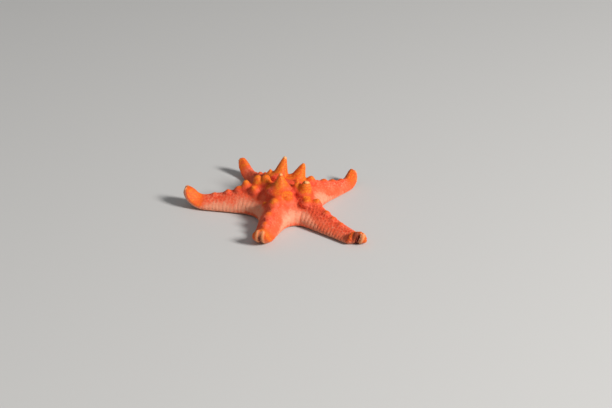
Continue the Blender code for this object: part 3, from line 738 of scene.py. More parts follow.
class Marks:
    """Zones, plates and patches of the skin, from which its relief and its colours are made."""

    def __init__(self, survey, normals, settings, draw):
        self.survey = survey
        self.settings = settings
        looks = np.array([ARM_LOOKS[arm.name] for arm in STAR])[survey.arm]
        self.pale_share, self.joints, self.brown, self.ridge_glow, self.glow_start, self.pale_rim = looks.T
        self.mottle = soft_noise(survey.points, *MOTTLE)
        self.blotch = soft_noise(survey.points, *BLOTCH)
        self.specks = ease(0.05, 0.5, soft_noise(survey.points, *SPECKS))
        self.swell = soft_noise(survey.points, *SWELL)
        self.find_zones(normals)
        self.find_plates()
        self.find_net(draw)

    def find_zones(self, normals):
        """Underside, furrow, wall, horns, curled tip, webs and the furrow's lips."""
        survey = self.survey
        self.under = ease(0.35, 0.75, -normals[:, 2]) * (survey.z < UNDER_HEIGHT)
        self.furrow = ease(1.2, 0.9, np.abs(survey.y) / survey.furrow) * (survey.z < 0.6 * survey.ridge)
        self.furrow *= ease(survey.roof + FURROW_ROOF[0], survey.roof + FURROW_ROOF[1], survey.z)
        self.above, self.low = survey.above, survey.low
        self.off_horn = 1 - np.clip(survey.tall * 2.2 + survey.knob * 1.6, 0, 1)
        self.past = survey.x - survey.straight
        self.curl = ease(*CURL_ZONE, self.past)
        wander = 4 * MM * self.blotch + 1.5 * MM * self.mottle
        self.tip = ease(*TIP_ZONE, self.past - self.glow_start + wander)
        self.web = np.exp(-(survey.notch / WEB_REACH) ** 2)
        self.net_base = (survey.arm == NET_ARM) * ease(*NET_ZONE, survey.x)
        self.beneath = self.curl * (1 - ease(0.15, 0.5, survey.height))
        # Painted shadow over the hollow on the right of the underside of one arm's tip
        self.hollow_shadow = self.beneath * (survey.arm == NET_ARM) * (survey.y < 0)
        self.from_furrow = (np.abs(survey.y) - survey.furrow + LIP_START) / LIP_WIDTH
        self.lip = np.sin(math.pi * np.clip(self.from_furrow, 0, 1)) * self.beneath

    def find_plates(self):
        """Two rows of marginal plates, and the ribs that run up the flanks from them."""
        wobble = WOBBLE_SHARE * soft_noise(self.survey.points, *WOBBLE)
        self.ribs = plate_tops(self.survey.plate + wobble, 2.6)
        rows = plate_tops(np.clip((self.low - 0.04) / 0.48, 0, 1.999), 4)
        self.wall = 1 - ease(0.0, 0.22, self.above)
        self.margin = self.ribs * np.where(self.above > 0, 1, rows) * self.wall
        self.flank = self.ribs * ease(0.0, 0.15, self.above)
        self.flank *= 1 - ease(0.4, 0.85, self.above - 0.3 * self.web)

    def find_net(self, draw):
        """Net of raised strands on the upper side, with pits in its meshes."""
        size = self.settings.cell_size
        gap = border_distance(self.survey.points, spread(self.survey.points, size, draw))
        self.strands = 1 - ease(0.10 * size, 0.42 * size, gap)
        self.upper = ease(0.12, 0.5, self.above) * self.off_horn * (1 - 0.7 * self.web) * (1 - self.under)
        self.netted = 0.45 + 0.55 * self.net_base
        self.pits = (1 - self.strands) * self.upper * self.netted

    def relief(self):
        """Relief over the plain skin, in metres."""
        plate = self.settings.plate_height * mix(0.5, 1.0, self.joints)
        relief = self.swell * SWELL_HEIGHT * (1 - self.under)
        relief += plate * (self.margin - 0.6) * (1 - self.under) * ease(0.03, 0.2, self.low)
        relief += plate * 0.5 * (self.flank - 0.5 * (self.flank > 0)) * self.off_horn
        net = 0.35 * self.upper * self.netted - self.pits
        relief += self.settings.net_depth * net * (1 - 0.5 * self.curl)
        return relief * (1 - self.furrow) + LIP_HEIGHT * self.lip

    def tints(self):
        """Shares that the colours are made of, one set for each name in TINTS."""
        survey = self.survey
        reach = np.maximum(self.pale_share * survey.ridge, WEB_PALE * self.web) / survey.ridge
        level = survey.height + 0.16 * self.blotch + 0.12 * self.mottle
        side = 1 - ease(reach - 0.30, reach + 0.18, level)
        glow = ease(*DISC_GLOW, survey.x)
        flame = glow * (1 - side) * (0.85 + 0.3 * self.blotch)
        rim = self.pale_rim * self.curl * ease(0.4, 0.15, survey.height)
        values = (self.orange(rim), flame, self.pale(side, glow, rim), self.deep(side),
                  self.joint(), self.shade_brown_flanks(), self.dark(), self.bare())
        return dict(zip(TINTS, values))

    def orange(self, rim):
        """Horns, knobs, ridges and tips, but not the tips' pale rims."""
        survey = self.survey
        knobs = ease(0.0, 0.8, survey.knob) * (1 - 0.2 * ease(*KNOB_ZONE, survey.x))
        ridge = ease(0.55, 0.05, survey.share) * ease(*RIDGE_ZONE, survey.x) * self.ridge_glow
        orange = np.maximum(ease(-0.08, 0.45, survey.tall), 0.95 * knobs)
        orange += self.tip * ease(-0.35, 0.25, survey.height) * (0.85 + 0.2 * self.mottle) * (1 - rim)
        orange += ridge * (0.6 + 0.35 * self.blotch) + 0.3 * ease(0.7, 1.5, survey.foot + 0.4 * ridge)
        return np.clip(orange, 0, 1.1)

    def pale(self, side, glow, rim):
        """Lower sides, webs, rims and the underside, with strands and specks on the rest."""
        strip = ease(0.30, 0.12, self.survey.height) * self.web
        pale = side * (0.7 + 0.16 * self.ribs + 0.34 * self.mottle) * (1 - 0.75 * self.curl)
        pale *= (1 - 0.85 * strip) * self.off_horn
        pale += 0.34 * self.strands * self.upper * (1 - self.net_base) * (1 - glow)
        pale += 0.3 * self.specks * self.off_horn * (1 - 0.6 * glow)
        return np.clip(pale + 0.7 * rim + 0.6 * self.under, 0, 1)

    def deep(self, side):
        """Pits of the net, the ridge's middle, and painted shade in the valleys round the horns."""
        deep = 0.85 * self.pits + 0.2 * (1 - ease(0.3, 0.75, self.survey.share))
        deep *= (1 - self.tip) * (1 - side)
        # Ring round each horn's foot: painted shade in its valley
        return np.clip(deep + self.survey.foot * 0.7, 0, 1) * (1 - ease(0.1, 0.5, self.survey.tall))

    def joint(self):
        """Joints between the plates, pits at the netted base and stripes in the painted shadow over the
        hollow.
        """
        on_net_arm = self.survey.arm == NET_ARM
        dark = self.joints * np.where(on_net_arm, ease(*JOINT_ZONE, self.survey.x), 1 - 0.6 * self.web)
        joint = dark * (1 - self.ribs) * (self.wall + self.flank) * (1 - 0.6 * self.curl) * self.off_horn
        joint += 0.5 * self.net_base * self.pits + 0.7 * self.hollow_shadow * (1 - 0.8 * self.ribs)
        return np.clip(joint, 0, 1)

    def shade_brown_flanks(self):
        """Lower flanks of two arms, between their ribs, in a brownish tone that is partly painted shade."""
        brown = self.brown * (1.15 - 0.7 * self.ribs) * (1 - self.web) * (1 - self.curl)
        return brown * ease(0.8, 0.45, self.survey.height) * self.off_horn

    def dark(self):
        """Inside of the furrows, in the tube feet's umber that deepens with depth as painted shade, and
        painted shadow over the hollow at one tip.
        """
        survey = self.survey
        inside = self.furrow * ease(0.25, 0.9, survey.z / np.maximum(survey.roof, 1e-5))
        stripes = 1 - 0.7 * self.ribs * ease(*HOLLOW_SHADOW_ZONE, self.past)
        return np.maximum(inside * ease(*FURROW_SHADE, survey.roof),
                          self.hollow_shadow * stripes * ease(1.35, 0.8, self.from_furrow))

    def bare(self):
        """Lips of the furrow under the tips, dimmed under the painted shadow over the hollow."""
        return self.lip * (1 - 0.8 * self.hollow_shadow) * (0.85 + 0.3 * self.mottle)


def rest_on_floor(points, normals):
    """Presses the underside flat and lifts whatever the relief has pushed through the floor."""
    flat = (normals[:, 2] < -0.8) & (points[:, 2] < 0.25 * MM)
    points[flat, 2] = 0
    points[:, 2] = np.maximum(points[:, 2], 0)


def own_nodes(name):
    """A new material and its shader."""
    material = bpy.data.materials.new(name)
    material.use_nodes = True
    return material, material.node_tree.nodes["Principled BSDF"]


def add_node(tree, kind, **values):
    """A node with values on its inputs, which name the socket with underscores for blanks."""
    node = tree.nodes.new(kind)
    for name, value in values.items():
        node.inputs[name.replace("_", " ")].default_value = value
    return node


def tint_of(tree, name):
    node = tree.nodes.new("ShaderNodeAttribute")
    node.attribute_name = name
    return node.outputs["Fac"]


def number(tree, operation, first, second):
    """A Math node's result. Each side is a socket or a number."""
    node = tree.nodes.new("ShaderNodeMath")
    node.operation = operation
    for socket, value in zip(node.inputs, (first, second)):
        if isinstance(value, bpy.types.NodeSocket):
            tree.links.new(value, socket)
        else:
            socket.default_value = value
    return node.outputs[0]


def step_between(tree, value, low, high):
    """A Map Range node that runs smoothly from 0 at low to 1 at high."""
    node = tree.nodes.new("ShaderNodeMapRange")
    node.interpolation_type = "SMOOTHSTEP"
    tree.links.new(value, node.inputs["Value"])
    node.inputs["From Min"].default_value = low
    node.inputs["From Max"].default_value = high
    return node.outputs["Result"]


def over(tree, base, colour, share):
    """Lays a colour over a base by a share. Base and colour are sockets or colours."""
    node = tree.nodes.new("ShaderNodeMix")
    node.data_type = "RGBA"
    for socket, value in ((node.inputs[6], base), (node.inputs[7], colour), (node.inputs[0], share)):
        if isinstance(value, bpy.types.NodeSocket):
            tree.links.new(value, socket)
        else:
            socket.default_value = value
    return node.outputs[2]


def grain(tree, size, detail=3.0, roughness=0.6):
    """Noise on the piece's own coordinates with lumps of about the given size."""
    place = tree.nodes.new("ShaderNodeTexCoord")
    node = add_node(tree, "ShaderNodeTexNoise", Scale=1 / size, Detail=detail, Roughness=roughness)
    tree.links.new(place.outputs["Object"], node.inputs["Vector"])
    return node.outputs["Fac"]


def pebbles(tree, size):
    """Distance to the nearest of many scattered points, for a pebbled surface."""
    place = tree.nodes.new("ShaderNodeTexCoord")
    node = add_node(tree, "ShaderNodeTexVoronoi", Scale=1 / size)
    tree.links.new(place.outputs["Object"], node.inputs["Vector"])
    return node.outputs["Distance"]


def skin_colour(tree, colours):
    """The skin's colour from its tints, mottled."""
    fine = step_between(tree, grain(tree, 1.1 * MM, 4.0), 0.35, 0.68)
    coarse = step_between(tree, grain(tree, 6.0 * MM, 3.0), 0.38, 0.66)
    colour = over(tree, colours.coral, colours.pink, number(tree, "MULTIPLY", coarse, 0.8))
    uneven = number(tree, "MULTIPLY", number(tree, "SUBTRACT", fine, 0.5), 0.4)
    colour = over(tree, colour, colours.flame, tint_of(tree, "flame"))
    pale = tint_of(tree, "pale")
    pale = number(tree, "ADD", pale, number(tree, "MULTIPLY", pale, uneven))
    colour = over(tree, colour, colours.salmon, step_between(tree, pale, 0.1, 0.95))
    # Brownish lower flanks, partly painted shade
    colour = over(tree, colour, colours.brown, tint_of(tree, "brown"))
    # Crimson in the net's pits and the ridge's middle, and as painted shade round the horns' feet
    deep = number(tree, "MULTIPLY", tint_of(tree, "deep"), number(tree, "ADD", fine, 0.45))
    colour = over(tree, colour, colours.crimson, step_between(tree, deep, 0.1, 1.0))
    joint = number(tree, "MULTIPLY", tint_of(tree, "joint"), number(tree, "ADD", fine, 0.3))
    colour = over(tree, colour, colours.maroon, number(tree, "MULTIPLY", joint, 0.85))
    orange = number(tree, "ADD", tint_of(tree, "orange"), uneven)
    colour = over(tree, colour, colours.orange, step_between(tree, orange, 0.05, 0.95))
    # Amber speckles on the orange parts, partly painted highlight
    speckled = number(tree, "MULTIPLY", fine, 0.95)
    yellow_highlight = number(tree, "MULTIPLY", step_between(tree, orange, 0.75, 1.1), speckled)
    colour = over(tree, colour, colours.amber, yellow_highlight)
    colour = over(tree, colour, colours.cream, number(tree, "MULTIPLY", tint_of(tree, "bare"), 0.68))
    # Umber: partly painted shade inside the furrows, and painted shadow over the hollow
    return over(tree, colour, colours.umber, tint_of(tree, "dark"))


def roughness_of(tree, shader, low, high, size):
    """Roughness that wanders between two values in patches of about the given size."""
    node = tree.nodes.new("ShaderNodeMapRange")
    tree.links.new(grain(tree, size), node.inputs["Value"])
    node.inputs["To Min"].default_value = low
    node.inputs["To Max"].default_value = high
    tree.links.new(node.outputs["Result"], shader.inputs["Roughness"])


def bump_of(tree, shader, height, strength, distance):
    bump = add_node(tree, "ShaderNodeBump", Strength=strength, Distance=distance)
    tree.links.new(height, bump.inputs["Height"])
    tree.links.new(bump.outputs["Normal"], shader.inputs["Normal"])


def soften(shader, weight, depth):
    """Lets some light into the surface, reddened as in flesh."""
    shader.inputs["Subsurface Weight"].default_value = weight
    shader.inputs["Subsurface Radius"].default_value = (1.0, 0.35, 0.2)
    shader.inputs["Subsurface Scale"].default_value = depth


def skin_material(settings, colours):
    """Granular skin, a little moist."""
    material, shader = own_nodes("sea_star_skin")
    tree = material.node_tree
    tree.links.new(skin_colour(tree, colours), shader.inputs["Base Color"])
    roughness_of(tree, shader, 0.42, 0.72, 2.0 * MM)
    soften(shader, 0.1, 1.0 * MM)
    shader.inputs["Specular IOR Level"].default_value = 0.28
    hollows = number(tree, "MULTIPLY", pebbles(tree, 0.62 * MM), -0.9)
    height = number(tree, "ADD", hollows, grain(tree, 0.45 * MM))
    bump_of(tree, shader, height, settings.skin_bump, 0.22 * MM)
    return material


def granule_material(colours):
    """Skin granules: the skin's own markings, smoother and with a little gloss."""
    material, shader = own_nodes("sea_star_granules")
    tree = material.node_tree
    colour = over(tree, skin_colour(tree, colours), colours.cream, 0.07)
    tree.links.new(colour, shader.inputs["Base Color"])
    roughness_of(tree, shader, 0.38, 0.6, 1.5 * MM)
    shader.inputs["Specular IOR Level"].default_value = 0.3
    bump_of(tree, shader, grain(tree, 0.2 * MM), 0.25, 0.08 * MM)
    return material


def shell_material(name, light, dark, spot, gloss):
    """Bare limy parts: two tones in fine streaks, pitted."""
    material, shader = own_nodes(name)
    tree = material.node_tree
    patches = step_between(tree, grain(tree, spot, 4.0), 0.35, 0.7)
    tree.links.new(over(tree, light, dark, patches), shader.inputs["Base Color"])
    roughness_of(tree, shader, gloss, gloss + 0.25, spot)
    soften(shader, 0.12, 0.6 * MM)
    bump_of(tree, shader, grain(tree, 0.25 * MM, 4.0), 0.35, 0.1 * MM)
    return material


def settle(name, mesh, material, slot, *replaced):
    """Puts a finished piece in its place in the frame."""
    mesh.transform(Matrix.Translation(DISC_MIDDLE))
    mesh.materials.clear()
    mesh.materials.append(material)
    mesh.shade_smooth()
    item = link(name, mesh)
    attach(item, "root")
    if replaced:
        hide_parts(*replaced)
    return item


class SeaStarSizes(bpy.types.PropertyGroup):
    """Sizes of the skin's relief and of what grows on it"""
    voxel: FloatProperty(name="Skin mesh", description="Size of the skin's mesh cells",
                         default=0.61 * MM, unit="LENGTH")
    cell_size: FloatProperty(name="Net", description="Size of the net's meshes on the upper side",
                             default=2.3 * MM, unit="LENGTH")
    net_depth: FloatProperty(name="Net depth", description="Depth of the pits in the net",
                             default=0.4 * MM, unit="LENGTH")
    plate_height: FloatProperty(name="Plates", description="Height of the marginal plates over their joints",
                                default=0.5 * MM, unit="LENGTH")
    skin_bump: FloatProperty(name="Skin bump", description="Strength of the finest grain of the skin",
                             default=0.5, subtype="FACTOR")
    granule_pitch: FloatProperty(name="Granule spacing", description="Least distance between two granules",
                                 default=0.66 * MM, unit="LENGTH")
    granule_radius: FloatProperty(name="Granule size", description="Radius of a granule",
                                  default=0.33 * MM, unit="LENGTH")
    spine_pitch: FloatProperty(name="Spine spacing", description="Length of a plate on the furrow's rim",
                               default=1.55 * MM, unit="LENGTH")
    foot_pitch: FloatProperty(name="Foot spacing", description="Distance between tube feet in a row",
                              default=1.9 * MM, unit="LENGTH")
    seed: IntProperty(name="Seed", description="Start of the random draws", default=11)


class SeaStarColours(bpy.types.PropertyGroup):
    """Colours of the skin, the spines and the feet"""
    coral: FloatVectorProperty(name="Coral", description="Upper sides of the arms",
                               size=4, subtype="COLOR", default=(0.86, 0.10, 0.030, 1))
    flame: FloatVectorProperty(name="Flame", description="Orange red of the disc",
                               size=4, subtype="COLOR", default=(0.85, 0.088, 0.014, 1))
    pink: FloatVectorProperty(name="Pink", description="Patches on the arms",
                              size=4, subtype="COLOR", default=(0.91, 0.17, 0.075, 1))
    salmon: FloatVectorProperty(name="Salmon", description="Lower sides and webs",
                                size=4, subtype="COLOR", default=(0.84, 0.34, 0.20, 1))
    # Partly painted shade, on the lower flanks of two arms
    brown: FloatVectorProperty(name="Brown", description="Lower side of the arm in front on the right",
                               size=4, subtype="COLOR", default=(0.60, 0.185, 0.085, 1))
    # Partly painted shade, in the valleys round the horns
    crimson: FloatVectorProperty(name="Crimson", description="Valleys between the horns",
                                 size=4, subtype="COLOR", default=(0.68, 0.03, 0.012, 1))
    maroon: FloatVectorProperty(name="Maroon", description="Joints between the plates",
                                size=4, subtype="COLOR", default=(0.34, 0.035, 0.028, 1))
    orange: FloatVectorProperty(name="Orange", description="Horns, knobs and arm tips",
                                size=4, subtype="COLOR", default=(0.80, 0.098, 0.004, 1))
    # Partly painted highlight on the horns; on the bare horn tips it is their own colour
    amber: FloatVectorProperty(name="Amber", description="Yellower parts of the horns",
                               size=4, subtype="COLOR", default=(0.86, 0.26, 0.014, 1))
    cream: FloatVectorProperty(name="Cream", description="Bare tips of the tall horns, and the spines",
                               size=4, subtype="COLOR", default=(0.86, 0.46, 0.20, 1))
    # Painted shade inside the furrows and painted shadow over the hollow at one tip, and the tube feet's own
    # colour
    umber: FloatVectorProperty(name="Umber", description="Inside of the furrows, and the tube feet",
                               size=4, subtype="COLOR", default=(0.26, 0.042, 0.014, 1))
    sieve: FloatVectorProperty(name="Sieve", description="Sieve plate",
                               size=4, subtype="COLOR", default=(0.80, 0.42, 0.22, 1))


class StudioSettings(bpy.types.PropertyGroup):
    """The camera's angle and the studio's lights"""
    elevation: FloatProperty(name="Camera elevation", description="Angle above the floor",
                             default=math.radians(26), subtype="ANGLE")
    distance: FloatProperty(name="Camera distance", description="From the camera to the disc",
                            default=1.178, unit="LENGTH")
    key_power: FloatProperty(name="Key light", description="Power of the main lamp",
                             default=113.0, unit="POWER")
    fill_power: FloatProperty(name="Fill light", description="Power of the weak lamp",
                              default=0.5, unit="POWER")
    sky: FloatProperty(name="Surroundings", description="Brightness of the surroundings", default=0.23)
    floor_colour: FloatVectorProperty(name="Floor", description="Colour of the floor",
                                      size=4, subtype="COLOR", default=(0.60, 0.585, 0.56, 1))


class SeaStarSettings(bpy.types.PropertyGroup):
    """All settings of the sea star"""
    sizes: PointerProperty(type=SeaStarSizes)
    colours: PointerProperty(type=SeaStarColours)
    studio: PointerProperty(type=StudioSettings)


# Rounds in which the skin is smoothed: all but the horns, then the horns' feet, then all of it
SKIN_ROUNDS, FOOT_ROUNDS, LAST_ROUNDS = 7, 19, 2


def smooth_skin(mesh):
    tall, knob, _ = horn_shares(points_of(mesh))
    relax(mesh, SKIN_ROUNDS, 0.5 * (1 - ease(0.1, 0.6, np.maximum(tall, 0.6 * knob))))
    foot = horn_shares(points_of(mesh))[2]
    relax(mesh, FOOT_ROUNDS, 0.5 * np.clip(1.5 * foot, 0, 1))
    relax(mesh, LAST_ROUNDS, np.full(len(mesh.vertices), 0.4))


class SEASTAR_OT_skin(bpy.types.Operator):
    """Wraps one skin over the disc, the arms and the horns, and gives it its relief"""
    bl_idname = "seastar.skin"
    bl_label = "Skin"

    def execute(self, context):
        sizes = context.scene.sea_star.sizes
        mesh = wrap(plain_star(), sizes.voxel)
        smooth_skin(mesh)
        points, normals = points_of(mesh), normals_of(mesh)
        marks = Marks(Survey(points), normals, sizes, random.Random(sizes.seed))
        relief, tints = marks.relief(), marks.tints()
        points += normals * relief[:, None]
        rest_on_floor(points, normals)
        set_points(mesh, points)
        for name, values in tints.items():
            store(mesh, name, values)
        settle("skin", mesh, skin_material(sizes, context.scene.sea_star.colours), "skin", *FLESH)
        return {"FINISHED"}


class Growth:
    """Roots, axes and sizes of many pieces of one kind."""

    def __init__(self):
        self.roots, self.axes, self.sizes = [], [], []

    def add(self, root, end, radius):
        axis = end - root
        self.roots.append(root)
        self.axes.append(axis)
        self.sizes.append((radius, radius, axis.length))

    def grow(self, name, unit):
        return grow(name, unit, np.array(self.roots), np.array(self.axes), np.array(self.sizes), {})


def unit_turned(name, profile, sides):
    bm = turned(profile, sides, Vector(), Vector((0, 0, 1)))
    mesh = bpy.data.meshes.new(name)
    bm.to_mesh(mesh)
    bm.free()
    return mesh


def grow(name, unit, roots, axes, sizes, marks):
    """Copies of a unit mesh at the roots, each along its own axis, realized as one mesh."""
    base = bpy.data.meshes.new(name)
    base.vertices.add(len(roots))
    set_points(base, roots)
    for label, values in (("lie", axes), ("size", sizes), *marks.items()):
        store(base, label, values)
    stem = link(unit.name, unit)
    item = link(name, base)
    tree = copies_tree(name, stem)
    item.modifiers.new("grow", "NODES").node_group = tree
    mesh = evaluated(item)
    bpy.data.objects.remove(stem, do_unlink=True)
    bpy.data.node_groups.remove(tree)
    for label in ("lie", "size"):
        mesh.attributes.remove(mesh.attributes[label])
    return mesh


def copies_tree(name, stem):
    """Nodes that put a copy of the stem on each point, by the point's axis and size."""
    tree = bpy.data.node_groups.new(name, "GeometryNodeTree")
    for way in ("INPUT", "OUTPUT"):
        tree.interface.new_socket("Geometry", in_out=way, socket_type="NodeSocketGeometry")
    start, end = tree.nodes.new("NodeGroupInput"), tree.nodes.new("NodeGroupOutput")
    source = tree.nodes.new("GeometryNodeObjectInfo")
    source.inputs["Object"].default_value = stem
    copies = tree.nodes.new("GeometryNodeInstanceOnPoints")
    turn = tree.nodes.new("FunctionNodeAlignRotationToVector")
    turn.axis = "Z"
    realize = tree.nodes.new("GeometryNodeRealizeInstances")
    for label, socket in (("lie", turn.inputs["Vector"]), ("size", copies.inputs["Scale"])):
        reader = tree.nodes.new("GeometryNodeInputNamedAttribute")
        reader.data_type = "FLOAT_VECTOR"
        reader.inputs["Name"].default_value = label
        tree.links.new(reader.outputs["Attribute"], socket)
    tree.links.new(start.outputs[0], copies.inputs["Points"])
    tree.links.new(source.outputs["Geometry"], copies.inputs["Instance"])
    tree.links.new(turn.outputs["Rotation"], copies.inputs["Rotation"])
    tree.links.new(copies.outputs["Instances"], realize.inputs["Geometry"])
    tree.links.new(realize.outputs["Geometry"], end.inputs[0])
    return tree


def floor_lift(arm, station):
    """How far the curl lifts the underside off the floor at a station."""
    turn = max(station - arm.straight, 0) / arm.curl_radius
    return arm.curl_radius * (1 - math.cos(turn))


def stations_of(arm, first, last, pitch):
    """Stations along an arm, closer together towards its tip."""
    stations = []
    station = first
    while station < arm.length - last:
        stations.append(station)
        station += pitch * mix(1.1, 0.75, station / arm.length)
    return stations


def plain_material(context, kind):
    colours = context.scene.sea_star.colours
    if kind == "spines":
        return shell_material("spines", colours.cream, colours.salmon, 0.8 * MM, 0.45)
    if kind == "tips":
        return shell_material("bare_tips", colours.cream, colours.amber, 1.1 * MM, 0.35)
    if kind == "feet":
        return shell_material("tube_feet", colours.umber, colours.maroon, 0.7 * MM, 0.3)
    return shell_material("sieve", colours.sieve, colours.orange, 0.6 * MM, 0.4)


GRANULE_FLOOR = 0.5 * MM      # height below which the skin has no granules
FURROW_DARK = 0.05            # darkness from which the skin of a furrow has none
HORN_BARE = 0.86              # share of a tall horn's height above which it has none
GRANULE_GIRTH = (0.72, 1.12)  # least and largest, as a share of the usual radius
GRANULE_HEIGHT = 0.62         # as a share of the radius

# Unwrap of the skin for the coats' maps, on which an arm is a strip with its ridge in the
# middle: shares of half a strip that the upper side and the wall take, and share that is used
UPPER_STRIP, WALL_STRIP = 0.6, 0.25
STRIP_FILL = 0.96
GRANULE_PATCH = 0.0015        # half width of a granule's patch on the map


class SEASTAR_OT_granules(bpy.types.Operator):
    """Covers the skin with granules that carry its markings, in one coat to an arm"""
    bl_idname = "seastar.granules"
    bl_label = "Granules"

    def execute(self, context):
        sizes = context.scene.sea_star.sizes
        draw = random.Random(sizes.seed + 1)
        skin = bpy.data.objects["skin"].data
        skin.transform(Matrix.Translation(-DISC_MIDDLE))
        points, normals = points_of(skin), normals_of(skin)
        survey = Survey(points)
        unwrap = unwrapped(survey)
        tints = {name: stored(skin, name) for name in TINTS}
        skin.transform(Matrix.Translation(DISC_MIDDLE))
        material = granule_material(context.scene.sea_star.colours)
        chosen = np.array(spread(points, sizes.granule_pitch, draw))
        clear = (points[chosen, 2] > GRANULE_FLOOR) & (tints["dark"][chosen] < FURROW_DARK)
        clear &= (survey.tall[chosen] < HORN_BARE)
        chosen = chosen[clear]
        granule = self.unit_granule()
        for index, arm in enumerate(STAR):
            here = chosen[survey.arm[chosen] == index]
            girth = np.array([draw.uniform(*GRANULE_GIRTH) for _ in here]) * sizes.granule_radius
            scale = np.stack((girth, girth, girth * GRANULE_HEIGHT), axis=-1)
            marks = {name: values[here] for name, values in tints.items()}
            marks["root_map"] = np.column_stack((unwrap[here], np.zeros(len(here))))
            mesh = grow(f"granules_{arm.name}", granule.copy(), points[here], normals[here], scale, marks)
            lay_map(mesh)
            settle(f"granules_{arm.name}", mesh, material, "skin")
        return {"FINISHED"}

    def unit_granule(self):
        """A ball of radius 1 that keeps each point's own place, for the map."""
        bm = bmesh.new()
        bmesh.ops.create_icosphere(bm, subdivisions=1, radius=1)
        granule = bpy.data.meshes.new("granule")
        bm.to_mesh(granule)
        bm.free()
        store(granule, "spot", points_of(granule))
        return granule


def unwrapped(survey):
    """Place of each point on an unwrap of the skin: a strip for each arm, ridge in the middle."""
    on_wall = UPPER_STRIP + WALL_STRIP * (1 - survey.low)
    girth = np.where(survey.above > 0.02, UPPER_STRIP * survey.share, on_wall)
    across = (survey.arm + 0.5 + 0.5 * np.sign(survey.y) * np.clip(girth, 0, STRIP_FILL)) / len(STAR)
    return np.stack((across, (1 - STRIP_FILL) / 2 + STRIP_FILL * (survey.run + 1) / 2), axis=-1)


def lay_map(mesh):
    """Map of a coat: each granule is a small patch at its root's place on the skin's unwrap."""
    spots = stored(mesh, "root_map")[:, :2] + GRANULE_PATCH * stored(mesh, "spot")[:, :2]
    corners = np.empty(len(mesh.loops), np.int32)
    mesh.loops.foreach_get("vertex_index", corners)
    layer = mesh.uv_layers.new(name="OFBake")
    layer.data.foreach_set("uv", spots[corners].astype(np.float32).ravel())
    for label in ("root_map", "spot"):
        mesh.attributes.remove(mesh.attributes[label])


# Unit shapes of the many small pieces: share of the radius and share of the length
SPINE_SHAPE = ((0, 0), (1, 0.02), (0.95, 0.4), (0.78, 0.78), (0.45, 0.96), (0, 1))
FOOT_SHAPE = ((0, 0), (0.7, 0.02), (0.52, 0.3), (0.6, 0.55), (0.5, 0.84), (1, 0.93), (0.96, 0.99), (0, 0.95))

FLOOR_SHARE = 0.7             # share of the gap under a curled tip that spines and feet may take up

# Furrow spines: combs of three slender spines on either rim, and a stout one behind each comb.
# Roots and ends are the place across, as a share of the furrow's half width, and the height
COMB_FIRST, COMB_LAST = 7.5 * MM, 1.6 * MM     # from the disc's middle, and from the tip
COMB_ROOT, COMB_END = (1.35, 1.5 * MM), (0.2, 0.4 * MM)
COMB_GAP = 0.42 * MM          # between the spines of a comb
COMB_SPLAY = 0.25 * MM        # how much farther apart their ends are than their roots
COMB_RADIUS = 0.27 * MM
STOUT_ROOT, STOUT_END = (1.9, 1.2 * MM), (1.05, 0.4 * MM)
STOUT_RADIUS = 0.46 * MM
TIP_PROUD = 0.6 * MM          # how far the combs reach below a tip that is off the floor
TIP_GAPE = 1.4 * MM           # gape of a furrow at which its combs stand wide open

# Mouth's spines: distance from the mouth's middle and height of their roots and ends, and the
# degrees by which they fan out
JAW_ROOT, JAW_END = (8.6 * MM, 1.6 * MM), (2.4 * MM, 0.7 * MM)
JAW_FAN = (-24, -16, -8, 0, 8, 16, 24)
JAW_RADIUS = 0.5 * MM


